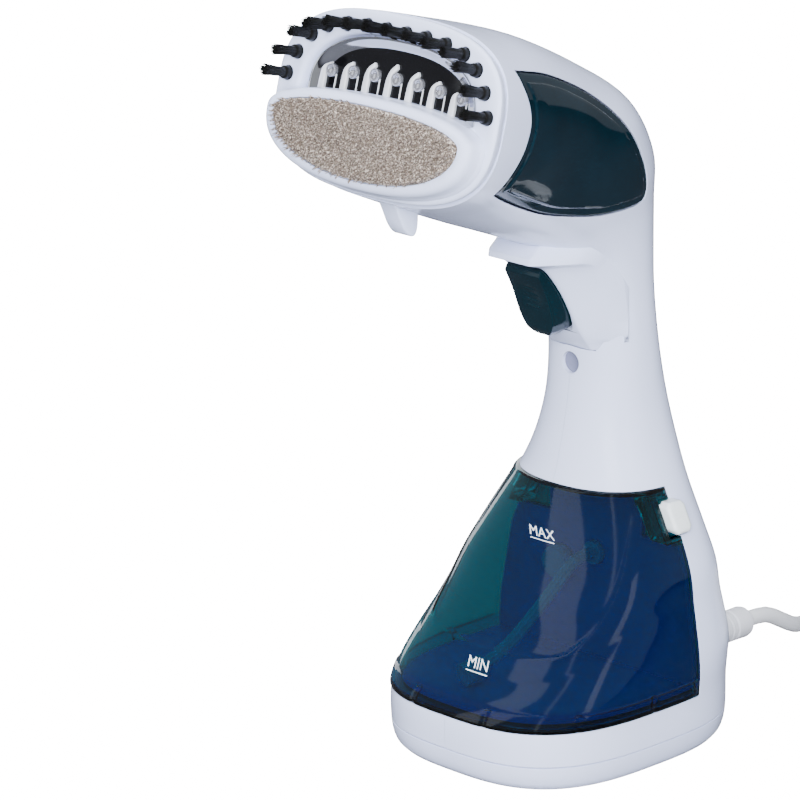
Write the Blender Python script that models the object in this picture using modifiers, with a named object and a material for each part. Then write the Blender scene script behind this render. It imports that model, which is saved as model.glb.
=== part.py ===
"""Handheld garment steamer, built as an assembly of separate parts.

Lengths are in millimetres and are turned into metres where a mesh is made. The handle's axis is the
local z axis, the head looks along -y, and +z is up. The empty "steamer_axis" moves this local frame so
that the world origin is the bottom centre of the appliance.
"""
import math

import bmesh
import bpy
from mathutils import Matrix, Vector

MM = 0.001
GAP = 0.3                    # clearance between neighbouring parts
AXIS_Y = 43.6                # handle axis behind the centre of the footprint

# Stations of the body, from the foot up the handle and along the head:
# front y, front z, rear y, rear z, half width, roundness exponent.
STATIONS = (
    (-78.0, 0.0, 40.5, 0.0, 50.5, 2.9),
    (-81.0, 3.5, 43.0, 3.5, 52.8, 2.9),
    (-82.4, 10.5, 44.0, 10.5, 54.2, 2.9),
    (-82.4, 24.0, 44.0, 24.0, 54.2, 2.9),
    (-77.0, 32.0, 43.2, 32.0, 54.3, 3.0),
    (-68.0, 40.0, 42.0, 40.0, 53.5, 3.2),
    (-58.5, 49.0, 40.0, 49.0, 52.0, 3.2),
    (-48.0, 60.0, 38.0, 60.0, 50.0, 3.0),
    (-39.5, 72.0, 36.5, 72.0, 48.0, 2.85),
    (-32.0, 85.0, 34.3, 85.0, 43.0, 2.6),
    (-24.3, 103.0, 32.5, 103.0, 34.0, 2.3),
    (-20.0, 118.0, 31.0, 118.0, 27.0, 2.3),
    (-16.6, 134.0, 27.8, 134.0, 23.0, 2.3),
    (-14.9, 150.0, 23.8, 150.0, 22.0, 2.3),
    (-15.5, 166.0, 20.5, 166.0, 22.0, 2.3),
    (-19.0, 181.0, 18.5, 182.0, 22.5, 2.3),
    (-28.0, 194.0, 17.5, 200.0, 24.5, 2.3),
    (-41.0, 201.5, 16.5, 218.0, 27.5, 2.3),
    (-53.0, 206.5, 13.5, 237.0, 32.0, 2.3),
    (-66.0, 211.5, -1.0, 257.0, 36.0, 2.35),
    (-82.0, 217.5, -28.0, 273.0, 40.0, 2.4),
    (-98.0, 224.0, -60.0, 287.5, 46.5, 2.5),
    (-112.0, 230.0, -88.0, 295.5, 52.5, 2.7),
    (-123.7, 235.3, -106.3, 300.1, 56.5, 2.85),
)
T_SEAM = 2.0                 # station of the crease where the foot cover meets the housing
T_HOUSING = 2.03
T_NECK = 12.0
T_FACE = 23.0
SIDES = 28
WALL = 2.4
SCREW_PLACES = ((-5.0, 128.0), (-2.0, 196.0), (22.8, 79.0))                    # y, z
FOOT_PLACES = ((-34.0, -56.0), (34.0, -56.0), (-30.0, 24.0), (30.0, 24.0))     # x, y

# Head face: local x across, y up the face, z out of the face.
FACE_CENTRE = (0.0, -115.0, 267.7)
FACE_TILT = 15.0
FACE_SEAT = -6.0             # where the housing ends and the brush frame begins

# Water tank
TANK_REAR = 3.0
TANK_BOTTOM = 24.0
TANK_TOP = 104.0
TANK_WALL = 2.2
DOCK_WALL = 2.0
DOCK_TOP = 107.2
VALVE_Z = 70.0
VALVE_R = 4.6
FILLER_X, FILLER_Z = -18.0, 62.0
FILLER_R = 7.0

# Latch buttons on the tank's shoulders
BUTTON_Y = (-5.3, 9.0)
BUTTON_Z = (84.8, 99.2)
BUTTON_PROUD = 1.4
BUTTON_DEPTH = 3.4

# Trigger
TRIGGER_HALF = 9.0
BEZEL_HALF = 11.2
PIVOT_Y, PIVOT_Z = -30.5, 187.5
PIN_R = 1.3

# Indicator lamp, cord outlet
LAMP_Z = 150.3
LAMP_R = 4.0
CORD_R = 3.35
CORD_Z = 19.5
GLAND_END = 89.0
COIL_X, COIL_Y = 30.0, 172.0
COIL_INNER, COIL_OUTER = 26.0, 46.0
COIL_BOTTOM, COIL_TOP = 1.1, 21.2
PLUG_X, PLUG_REAR, PLUG_FRONT = 56.0, 178.0, 142.0
PLUG_LOW = COIL_TOP + 0.3

WHITE = (0.86, 0.87, 0.92, 1.0)
NAVY = (0.01, 0.03, 0.05, 1.0)
TANK_BLUE = (0.01, 0.08, 0.16, 1.0)
TEAL = (0.02, 0.08, 0.10, 1.0)
BLACK = (0.01, 0.01, 0.01, 1.0)
STEEL = (0.75, 0.76, 0.78, 1.0)
GREY = (0.62, 0.62, 0.62, 1.0)


# ---------------------------------------------------------------- scene helpers

def clear_scene():
    for old in list(bpy.data.objects):
        bpy.data.objects.remove(old)


def new_collection(name):
    group = bpy.data.collections.new(name)
    bpy.context.scene.collection.children.link(group)
    return group


def new_empty(name, parent, location=(0.0, 0.0, 0.0), tilt_x=0.0):
    empty = bpy.data.objects.new(name, None)
    PARTS.objects.link(empty)
    empty.parent = parent
    empty.location = Vector(location) * MM
    empty.rotation_euler = (math.radians(tilt_x), 0.0, 0.0)
    return empty


def finish_mesh(bm, name):
    bmesh.ops.recalc_face_normals(bm, faces=bm.faces)
    mesh = bpy.data.meshes.new(name)
    bm.to_mesh(mesh)
    bm.free()
    return mesh


def add_part(name, mesh, color, rough=0.4, metal=0.0, parent=None, location=(0.0, 0.0, 0.0)):
    material = bpy.data.materials.new(name)
    material.use_nodes = True
    shader = material.node_tree.nodes["Principled BSDF"]
    shader.inputs["Base Color"].default_value = color
    shader.inputs["Roughness"].default_value = rough
    shader.inputs["Metallic"].default_value = metal
    part = bpy.data.objects.new(name, mesh)
    mesh.materials.append(material)
    PARTS.objects.link(part)
    part.parent = parent or AXIS
    part.location = Vector(location) * MM
    mesh.shade_smooth()
    mesh.set_sharp_from_angle(angle=math.radians(35.0))
    return part


def add_cutter(name, mesh, parent=None, location=(0.0, 0.0, 0.0)):
    cutter = bpy.data.objects.new(name, mesh)
    CUTTERS.objects.link(cutter)
    cutter.parent = parent or AXIS
    cutter.location = Vector(location) * MM
    cutter.hide_render = True
    cutter.display_type = "WIRE"
    return cutter


def boolean(part, cutter, operation="DIFFERENCE"):
    step = part.modifiers.new(cutter.name, "BOOLEAN")
    step.operation = operation
    step.object = cutter
    step.solver = "EXACT"


def bevel(part, width, segments=2):
    step = part.modifiers.new("edges", "BEVEL")
    step.width = width * MM
    step.segments = segments
    step.limit_method = "ANGLE"
    step.angle_limit = math.radians(40.0)


# ---------------------------------------------------------------- mesh helpers

def blend_stations(t):
    """Smooth (Catmull-Rom) reading of the station table at the parameter t."""
    last = len(STATIONS) - 1
    i = int(min(max(math.floor(t), 0), last - 1))
    u = t - i
    row = []
    for k in range(len(STATIONS[0])):
        before = STATIONS[max(i - 1, 0)][k]
        here = STATIONS[i][k]
        there = STATIONS[i + 1][k]
        after = STATIONS[min(i + 2, last)][k]
        slope_here = (there - before) / 2 if i > 0 else there - here
        slope_there = (after - here) / 2 if i + 2 <= last else there - here
        value = (2 * u**3 - 3 * u**2 + 1) * here + (u**3 - 2 * u**2 + u) * slope_here
        value += (3 * u**2 - 2 * u**3) * there + (u**3 - u**2) * slope_there
        row.append(value)
    return row


def signed_power(value, power):
    return math.copysign(abs(value) ** power, value)


def body_ring(t, inset):
    front_y, front_z, rear_y, rear_z, half_width, roundness = blend_stations(t)
    middle = Vector((0.0, (front_y + rear_y) / 2, (front_z + rear_z) / 2))
    reach = Vector((0.0, (rear_y - front_y) / 2, (rear_z - front_z) / 2))
    reach -= reach.normalized() * inset
    ring = []
    for k in range(SIDES):
        angle = 2 * math.pi * (k + 0.5) / SIDES
        across = signed_power(math.sin(angle), 2 / roundness) * (half_width - inset)
        along = signed_power(math.cos(angle), 2 / roundness)
        ring.append((middle + reach * along + Vector((across, 0.0, 0.0))) * MM)
    return ring


def skin_rings(rings, name, capped=True):
    """Closed quad skin over equal-length rings, with flat end caps."""
    bm = bmesh.new()
    loops = [[bm.verts.new(point) for point in ring] for ring in rings]
    count = len(loops[0])
    for low, high in zip(loops, loops[1:]):
        for k in range(count):
            bm.faces.new((low[k], low[(k + 1) % count], high[(k + 1) % count], high[k]))
    if capped:
        bm.faces.new(loops[0])
        bm.faces.new(reversed(loops[-1]))
    return finish_mesh(bm, name)


def body_loft(name, t_start, t_end, inset=0.0, capped=True):
    """Body skin between two station parameters, with a ring at every station on the way."""
    marks = [t_start] + [float(k) for k in range(len(STATIONS)) if t_start < k < t_end] + [t_end]
    return skin_rings([body_ring(t, inset) for t in marks], name, capped)


def box_mesh(name, low, high):
    bm = bmesh.new()
    bmesh.ops.create_cube(bm, size=1.0)
    size = Vector(high) - Vector(low)
    middle = (Vector(high) + Vector(low)) / 2
    bmesh.ops.scale(bm, vec=size * MM, verts=bm.verts)
    bmesh.ops.translate(bm, vec=middle * MM, verts=bm.verts)
    return finish_mesh(bm, name)


def rod_mesh(name, radius, start, end, sides=16, end_radius=None):
    """Cylinder or cone between two points."""
    start, end = Vector(start), Vector(end)
    turn = Vector((0.0, 0.0, 1.0)).rotation_difference(end - start).to_matrix().to_4x4()
    bm = bmesh.new()
    bmesh.ops.create_cone(bm, cap_ends=True, segments=sides, radius1=radius * MM,
                          radius2=(radius if end_radius is None else end_radius) * MM,
                          depth=(end - start).length * MM)
    bmesh.ops.transform(bm, matrix=Matrix.Translation((start + end) / 2 * MM) @ turn, verts=bm.verts)
    return finish_mesh(bm, name)


def turned_mesh(name, profile, axis_turn, middle, sides=20):
    """Solid of revolution; profile rows are (radius, height) along the axis, both ends closed."""
    rings = []
    for radius, height in profile:
        rings.append([Vector((radius * math.cos(2 * math.pi * k / sides),
                              radius * math.sin(2 * math.pi * k / sides), height))
                      for k in range(sides)])
    frame = Matrix.Translation(Vector(middle)) @ axis_turn.to_4x4()
    return skin_rings([[(frame @ point) * MM for point in ring] for ring in rings], name)


def ring_mesh(name, profile, middle, sides=32):
    """Ring turned about a vertical axis from a closed (radius, height) profile."""
    bm = bmesh.new()
    loops = []
    for k in range(sides):
        turn = 2 * math.pi * k / sides
        loops.append([bm.verts.new(Vector((middle[0] + radius * math.cos(turn),
                                           middle[1] + radius * math.sin(turn), height)) * MM)
                      for radius, height in profile])
    count = len(profile)
    for k in range(sides):
        here, there = loops[k], loops[(k + 1) % sides]
        for j in range(count):
            bm.faces.new((here[j], there[j], there[(j + 1) % count], here[(j + 1) % count]))
    return finish_mesh(bm, name)


def prism_mesh(name, outline, x_low, x_high):
    """Side outline of (y, z) points, extruded across from x_low to x_high."""
    bm = bmesh.new()
    face = bm.faces.new([bm.verts.new(Vector((x_low, y, z)) * MM) for y, z in outline])
    lifted = bmesh.ops.extrude_face_region(bm, geom=[face])["geom"]
    moved = [item for item in lifted if isinstance(item, bmesh.types.BMVert)]
    bmesh.ops.translate(bm, vec=Vector((x_high - x_low, 0.0, 0.0)) * MM, verts=moved)
    return finish_mesh(bm, name)


def plate_mesh(name, outline, z_low, z_high):
    """Flat outline of (x, y) points, extruded from z_low to z_high."""
    bm = bmesh.new()
    face = bm.faces.new([bm.verts.new(Vector((x, y, z_low)) * MM) for x, y in outline])
    lifted = bmesh.ops.extrude_face_region(bm, geom=[face])["geom"]
    moved = [item for item in lifted if isinstance(item, bmesh.types.BMVert)]
    bmesh.ops.translate(bm, vec=Vector((0.0, 0.0, z_high - z_low)) * MM, verts=moved)
    return finish_mesh(bm, name)


def joined_mesh(name, meshes):
    """One mesh holding several separate shapes, used as a cutter or a union operand."""
    bm = bmesh.new()
    for mesh in meshes:
        bm.from_mesh(mesh)
    joined = bpy.data.meshes.new(name)
    bm.to_mesh(joined)
    bm.free()
    return joined


def grow_outline(outline, margin):
    """Outline of a side profile moved outwards by margin (negative moves it in)."""
    area = sum(a[0] * b[1] - b[0] * a[1] for a, b in zip(outline, outline[1:] + outline[:1]))
    side = 1.0 if area > 0 else -1.0
    grown = []
    for k, point in enumerate(outline):
        here = Vector(point)
        back = (here - Vector(outline[k - 1])).normalized()
        ahead = (Vector(outline[(k + 1) % len(outline)]) - here).normalized()
        normal_back = Vector((back.y, -back.x)) * side
        normal_ahead = Vector((ahead.y, -ahead.x)) * side
        bisector = (normal_back + normal_ahead).normalized()
        grown.append(tuple(here + bisector * margin / max(bisector.dot(normal_back), 0.4)))
    return grown


def face_oval(half_width, centre, rise, drop, roundness, sides=30):
    """Egg outline on the head's face: rise above and drop below the centre line."""
    points = []
    for k in range(sides):
        angle = 2 * math.pi * k / sides
        across = signed_power(math.cos(angle), 2 / roundness) * half_width
        up = signed_power(math.sin(angle), 2 / roundness)
        points.append((across, centre + up * (rise if up > 0 else drop)))
    return points


def oval_solid(name, layers):
    """Loft of face ovals; a layer is (z, half_width, centre, rise, drop, roundness)."""
    rings = []
    for layer in layers:
        rings.append([Vector((x, y, layer[0])) * MM for x, y in face_oval(*layer[1:])])
    return skin_rings(rings, name)


def smooth_route(points, spacing):
    """Evenly read points along a smooth curve through the given route points."""
    route = [Vector(point) for point in points]
    dense = []
    for i in range(len(route) - 1):
        before, here = route[max(i - 1, 0)], route[i]
        there, after = route[i + 1], route[min(i + 2, len(route) - 1)]
        for k in range(24):
            u = k / 24
            slope_here, slope_there = (there - before) / 2, (after - here) / 2
            dense.append((2 * u**3 - 3 * u**2 + 1) * here + (u**3 - 2 * u**2 + u) * slope_here
                         + (3 * u**2 - 2 * u**3) * there + (u**3 - u**2) * slope_there)
    dense.append(route[-1])
    total = sum((b - a).length for a, b in zip(dense, dense[1:]))
    count = max(2, int(round(total / spacing)))
    even, walked, target = [dense[0]], 0.0, total / count
    for a, b in zip(dense, dense[1:]):
        step = (b - a).length
        while step > 0 and walked + step >= target * len(even) and len(even) < count:
            even.append(a + (b - a) * ((target * len(even) - walked) / step))
        walked += step
    even.append(dense[-1])
    return even


def add_tube(name, points, radius, color, rough=0.5, resolution=2, parent=None):
    """Tube along a chain of points, made of one straight-segment spline with filled caps."""
    curve = bpy.data.curves.new(name, "CURVE")
    curve.dimensions = "3D"
    curve.bevel_depth = radius * MM
    curve.bevel_resolution = resolution
    curve.use_fill_caps = True
    spline = curve.splines.new("POLY")
    spline.points.add(len(points) - 1)
    for slot, point in zip(spline.points, points):
        slot.co = (*(Vector(point) * MM), 1.0)
    material = bpy.data.materials.new(name)
    material.use_nodes = True
    material.node_tree.nodes["Principled BSDF"].inputs["Base Color"].default_value = color
    material.node_tree.nodes["Principled BSDF"].inputs["Roughness"].default_value = rough
    curve.materials.append(material)
    tube = bpy.data.objects.new(name, curve)
    PARTS.objects.link(tube)
    tube.parent = parent or AXIS
    return tube


def coil_points(start, end, radius, turns, per_turn=6):
    """Helix from start to end, for a compression spring."""
    start, end = Vector(start), Vector(end)
    axis = (end - start).normalized()
    side = axis.orthogonal().normalized()
    other = axis.cross(side)
    count = int(turns * per_turn)
    points = []
    for k in range(count + 1):
        turn = 2 * math.pi * k / per_turn
        points.append(start + (end - start) * k / count
                      + (side * math.cos(turn) + other * math.sin(turn)) * radius)
    return points


# ---------------------------------------------------------------- side outlines (y, z)

WINDOW_OUTLINE = [
    (-95.0, 285.0), (-72.0, 279.0), (-48.0, 269.0), (-31.0, 259.0), (-19.0, 248.5), (-11.0, 238.0),
    (-6.0, 228.0), (-4.5, 220.5), (-8.0, 217.2), (-20.0, 216.6), (-34.0, 217.2), (-48.0, 219.5),
    (-63.0, 223.0), (-79.0, 229.0), (-94.0, 235.5), (-103.5, 240.0), (-99.0, 247.5), (-93.2, 256.0),
    (-90.3, 264.0), (-90.8, 271.5), (-93.0, 278.5),
]
BEZEL_OUTLINE = [
    (-14.4, 157.0), (-19.5, 163.5), (-23.2, 169.5), (-26.0, 174.5), (-32.2, 184.3), (-40.6, 193.6),
    (-49.4, 196.9), (-49.0, 199.3), (-38.0, 205.5), (-16.0, 194.0), (-10.0, 180.0), (-9.2, 157.0),
]
POCKET_OUTLINE = [
    (-60.0, 163.0), (-60.0, 194.6), (-32.0, 194.6), (-22.0, 191.5), (-14.5, 184.0), (-13.2, 175.0),
    (-13.4, 163.0),
]
TRIGGER_OUTLINE = [
    (-42.2, 190.8), (-40.2, 193.3), (-33.5, 193.4), (-25.0, 190.2), (-20.0, 184.0), (-17.8, 176.0),
    (-19.5, 169.8), (-24.0, 166.0), (-29.0, 164.2), (-32.0, 166.6), (-33.4, 170.5), (-37.4, 181.5),
]
TAB_OUTLINE = [
    (-115.0, 235.0), (-109.0, 222.0), (-105.8, 218.2), (-102.2, 218.6), (-101.4, 224.0),
    (-101.4, 232.0), (-106.0, 236.0),
]


# ---------------------------------------------------------------- shared cutters

def make_cutters():
    """Cutting shapes that several parts share, kept by name."""
    cut = {}
    cut["tank_space"] = add_cutter("tank_space", box_mesh(
        "tank_space", (-90, -120, TANK_BOTTOM - 0.1), (90, TANK_REAR + 0.15, TANK_TOP + 0.1)))
    cut["face_cut"] = add_cutter("face_cut", box_mesh("face_cut", (-90, -90, FACE_SEAT), (90, 90, 60)), FACE)
    cut["bezel_slot"] = add_cutter("bezel_slot", prism_mesh(
        "bezel_slot", grow_outline(BEZEL_OUTLINE, GAP), -BEZEL_HALF - GAP, BEZEL_HALF + GAP))
    cut["lamp_hole"] = add_cutter("lamp_hole", rod_mesh(
        "lamp_hole", LAMP_R + GAP, (0, -30, LAMP_Z), (0, -5, LAMP_Z), 16))
    cut["gland_hole"] = add_cutter("gland_hole", rod_mesh(
        "gland_hole", 7.3, (0, 36, CORD_Z), (0, 60, CORD_Z), 20))
    cut["tab_slot"] = add_cutter("tab_slot", box_mesh("tab_slot", (-5.2, -115.9, 205), (5.2, -100.2, 239)))
    cut["neck_core"] = add_cutter("neck_core", body_loft("neck_core", 2.5, T_NECK, BUTTON_DEPTH + 2.8))
    cut["deep_core"] = add_cutter("deep_core", body_loft(
        "deep_core", 2.5, T_NECK, BUTTON_DEPTH + 2.8 + TANK_WALL))
    cut["boss_limit"] = add_cutter("boss_limit", body_loft("boss_limit", 2.5, T_FACE, 1.0))
    cut["pockets"] = button_pockets("button_pockets", GAP, cut["neck_core"])
    cut["wide_pockets"] = button_pockets("wide_pockets", TANK_WALL + GAP, cut["deep_core"])
    return cut


def button_pockets(name, margin, core):
    """Two boxes round the latch buttons, cut back to the given core."""
    boxes = []
    for side in (-1, 1):
        ends = sorted((side * 20.0, side * 60.0))
        boxes.append(box_mesh("pocket", (ends[0], BUTTON_Y[0] - margin, BUTTON_Z[0] - margin),
                              (ends[1], BUTTON_Y[1] + margin, BUTTON_Z[1] + margin)))
    pocket = add_cutter(name, joined_mesh(name, boxes))
    boolean(pocket, core)
    return pocket


# ---------------------------------------------------------------- housing

def make_housing_half(label, side):
    name = "housing_" + label
    shell = add_part(name, body_loft(name, T_HOUSING, T_FACE, 0.0, False), WHITE, 0.25)
    thick = shell.modifiers.new("wall", "SOLIDIFY")
    thick.thickness = WALL * MM
    thick.offset = -1.0
    for opening in ("tank_space", "face_cut", "bezel_slot", "lamp_hole", "gland_hole", "tab_slot", "pockets"):
        boolean(shell, CUT[opening])
    span = sorted((side * 8.0, side * 80.0))
    boolean(shell, add_cutter("window_hole_" + label, prism_mesh(
        "window_hole", WINDOW_OUTLINE, span[0], span[1])))
    bosses = add_cutter("bosses_" + label, boss_mesh(side))
    boolean(bosses, CUT["boss_limit"], "INTERSECT")
    boolean(shell, bosses, "UNION")
    boolean(shell, add_cutter("screw_holes_" + label, screw_hole_mesh(side)))
    half = sorted((side * GAP / 2, side * 120.0))
    boolean(shell, add_cutter("half_" + label, box_mesh(
        "half", (half[0], -200, -10), (half[1], 120, 320))), "INTERSECT")


def half_width_at(y, z):
    """Half width of the body's skin beside the point (y, z) of its middle plane."""
    def height_error(k):
        front_y, front_z, rear_y, rear_z = blend_stations(k / 20)[:4]
        return abs(front_z + (rear_z - front_z) * (y - front_y) / (rear_y - front_y) - z)

    front_y, _, rear_y, _, half_width, roundness = blend_stations(min(range(40, 400), key=height_error) / 20)
    along = abs((y - (front_y + rear_y) / 2) / ((rear_y - front_y) / 2))
    return half_width * (1 - min(along, 1.0) ** roundness) ** (1 / roundness)


def boss_mesh(side):
    """Screw bosses from the middle of the handle out into the wall."""
    rods = [rod_mesh("boss", 3.4, (side * 0.05, y, z), (side * 60.0, y, z), 12) for y, z in SCREW_PLACES]
    return joined_mesh("bosses", rods)


def screw_hole_mesh(side):
    """Head recess and clearance bore on the left, pilot bore on the right."""
    turn = Matrix.Rotation(math.radians(90.0), 3, "Y")
    rods = []
    for y, z in SCREW_PLACES:
        reach = half_width_at(y, z)
        if side < 0:
            profile = [(1.9, 2.0), (1.9, -reach + 4.6), (2.7, -reach + 4.6), (2.7, -reach - 8.0)]
            rods.append(turned_mesh("bore", profile, turn, (0, y, z), 12))
        else:
            rods.append(rod_mesh("pilot", 1.9, (-2, y, z), (8.5, y, z), 10))
    return joined_mesh("screw_holes", rods)


def make_side_screws():
    for number, (y, z) in enumerate(SCREW_PLACES, 1):
        reach = half_width_at(y, z)
        name = "housing_screw_%d" % number
        profile = [(1.5, 8.0), (1.5, -reach + 4.3), (2.4, -reach + 4.3), (2.4, -reach + 2.6)]
        turn = Matrix.Rotation(math.radians(90.0), 3, "Y")
        add_part(name, turned_mesh(name, profile, turn, (0, y, z), 10), STEEL, 0.3, 1.0)


def make_window(label, side):
    """Tinted side window, cut from the same skin as the housing."""
    name = "window_" + label
    panel = add_part(name, body_loft(name, 15.0, T_FACE, 0.0, False), NAVY, 0.08)
    thick = panel.modifiers.new("wall", "SOLIDIFY")
    thick.thickness = WALL * MM
    thick.offset = -1.0
    span = sorted((side * 9.0, side * 80.0))
    boolean(panel, add_cutter("window_keep_" + label, prism_mesh(
        "window_keep", grow_outline(WINDOW_OUTLINE, -GAP), span[0], span[1])), "INTERSECT")


def make_base_cover():
    cover = add_part("base_cover", body_loft("base_cover", 0.0, T_SEAM), WHITE, 0.3)
    hollow = add_cutter("cover_hollow", body_loft("cover_hollow", 0.9, 3.0, WALL))
    boolean(cover, hollow)
    feet = [rod_mesh("foot", 7.0, (x, y, -3), (x, y, 1.6), 16) for x, y in FOOT_PLACES]
    boolean(cover, add_cutter("foot_pockets", joined_mesh("foot_pockets", feet)))
    boolean(cover, add_cutter("cover_underside", box_mesh("cover_underside", (-90, -120, -5), (90, 90, 0.7))))


def make_feet():
    for number, (x, y) in enumerate(FOOT_PLACES, 1):
        name = "rubber_foot_%d" % number
        add_part(name, rod_mesh(name, 6.6, (x, y, 0), (x, y, 1.3), 16), (0.2, 0.2, 0.2, 1), 0.8)


# ---------------------------------------------------------------- tank and dock

def make_tank_dock():
    """Deck under the tank, wall behind it and ceiling above it, in one moulding."""
    deck = TANK_BOTTOM - 0.6
    rear = TANK_REAR + GAP
    outline = [(-120, deck - DOCK_WALL), (rear + DOCK_WALL, deck - DOCK_WALL),
               (rear + DOCK_WALL, DOCK_TOP + DOCK_WALL), (-60, DOCK_TOP + DOCK_WALL), (-60, DOCK_TOP),
               (rear, DOCK_TOP), (rear, deck), (-120, deck)]
    dock = add_part("tank_dock", prism_mesh("tank_dock", outline, -80, 80), WHITE, 0.35)
    boolean(dock, add_cutter("dock_core", body_loft("dock_core", 2.0, T_NECK, WALL + GAP)), "INTERSECT")
    boolean(dock, CUT["pockets"])
    holes = [rod_mesh("valve_port", VALVE_R + 0.6, (0, -5, VALVE_Z), (0, 12, VALVE_Z), 16),
             rod_mesh("filler_port", FILLER_R + 2.9, (FILLER_X, -5, FILLER_Z),
                      (FILLER_X, 12, FILLER_Z), 20)]
    boolean(dock, add_cutter("dock_ports", joined_mesh("dock_ports", holes)))
    ribs = []
    for side in (-1, 1):
        ends = sorted((side * 26.6, side * 28.4))
        ribs.append(box_mesh("rib", (ends[0], rear + DOCK_WALL - 0.5, 88), (ends[1], rear + 9.2, 96)))
    boolean(dock, add_cutter("spring_ribs", joined_mesh("spring_ribs", ribs)), "UNION")


def make_tank():
    shell = add_part("tank_shell", body_loft("tank_shell", 2.5, T_NECK), TANK_BLUE, 0.06)
    low, high = TANK_BOTTOM + 0.2, TANK_TOP - 0.2
    boolean(shell, add_cutter("tank_limits", box_mesh(
        "tank_limits", (-90, -120, low), (90, TANK_REAR - 0.15, high))), "INTERSECT")
    boolean(shell, CUT["pockets"])
    cavity = add_cutter("tank_cavity", body_loft("tank_cavity", 2.2, T_NECK, TANK_WALL))
    boolean(cavity, add_cutter("cavity_limits", box_mesh(
        "cavity_limits", (-90, -120, low + TANK_WALL), (90, 20, high - TANK_WALL))), "INTERSECT")
    boolean(cavity, CUT["wide_pockets"])
    boolean(shell, cavity)

    back = add_part("tank_back", box_mesh(
        "tank_back", (-90, TANK_REAR - 2.35, low + TANK_WALL + GAP),
        (90, TANK_REAR - 0.15, high - TANK_WALL - GAP)), TANK_BLUE, 0.06)
    back_core = add_cutter("back_core", body_loft("back_core", 2.2, T_NECK, TANK_WALL + GAP))
    boolean(back, back_core, "INTERSECT")
    boxes = []
    for side in (-1, 1):
        ends = sorted((side * 24.0, side * 60.0))
        boxes.append(box_mesh("corner", (ends[0], -20, BUTTON_Z[0] - TANK_WALL - 2 * GAP),
                              (ends[1], 20, 120)))
    boolean(back, add_cutter("back_corners", joined_mesh("back_corners", boxes)))
    holes = [rod_mesh("valve_seat", VALVE_R + GAP, (0, -9, VALVE_Z), (0, 12, VALVE_Z), 16),
             rod_mesh("filler_seat", FILLER_R + GAP, (FILLER_X, -9, FILLER_Z),
                      (FILLER_X, 12, FILLER_Z), 20)]
    boolean(back, add_cutter("back_ports", joined_mesh("back_ports", holes)))


def make_tank_fittings():
    turn = Matrix.Rotation(math.radians(-90.0), 3, "X")
    plug = [(FILLER_R - 0.8, -3.6), (FILLER_R, -2.4), (FILLER_R, TANK_REAR + GAP),
            (FILLER_R + 2.2, TANK_REAR + GAP), (FILLER_R + 2.2, TANK_REAR + 2.2), (3.0, TANK_REAR + 2.6)]
    add_part("filler_plug", turned_mesh("filler_plug", plug, turn, (FILLER_X, 0, FILLER_Z), 20),
             (0.75, 0.76, 0.78, 1), 0.6)
    valve = [(2.4, -5.0), (2.4, -1.6), (VALVE_R, -1.6), (VALVE_R, 7.0), (3.4, 8.0)]
    add_part("outlet_valve", turned_mesh("outlet_valve", valve, turn, (0, 0, VALVE_Z), 16),
             (0.8, 0.8, 0.82, 1), 0.5)
    route = [(0, -5.8, VALVE_Z), (0, -12, VALVE_Z - 1.5), (-3, -26, 54), (-6, -40, 41), (-8, -52, 34.5)]
    add_tube("suction_tube", smooth_route(route, 6.0), 2.4, (0.7, 0.8, 0.8, 1), 0.3)
    add_part("suction_filter", rod_mesh("suction_filter", 4.6, (-8.3, -52.8, 34.2), (-10.2, -62.0, 31.8), 14),
             (0.7, 0.7, 0.72, 1), 0.6)


# ---------------------------------------------------------------- latch buttons

def make_latch(label, side):
    name = "latch_button_" + label
    low, high = sorted((side * 22.0, side * 60.0))
    button = add_part(name, box_mesh(name, (low, BUTTON_Y[0], BUTTON_Z[0]), (high, BUTTON_Y[1], BUTTON_Z[1])),
                      (0.86, 0.88, 0.88, 1), 0.35)
    boolean(button, CUT["button_outer"], "INTERSECT")
    boolean(button, CUT["button_inner"])
    start = Vector((side * 28.9, 7.5, 92.0))
    end = Vector((side * 33.4, 7.5, 92.0))
    add_tube("latch_spring_" + label, coil_points(start, end, 1.6, 3), 0.3, STEEL, 0.3, 1)


# ---------------------------------------------------------------- trigger group

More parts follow.
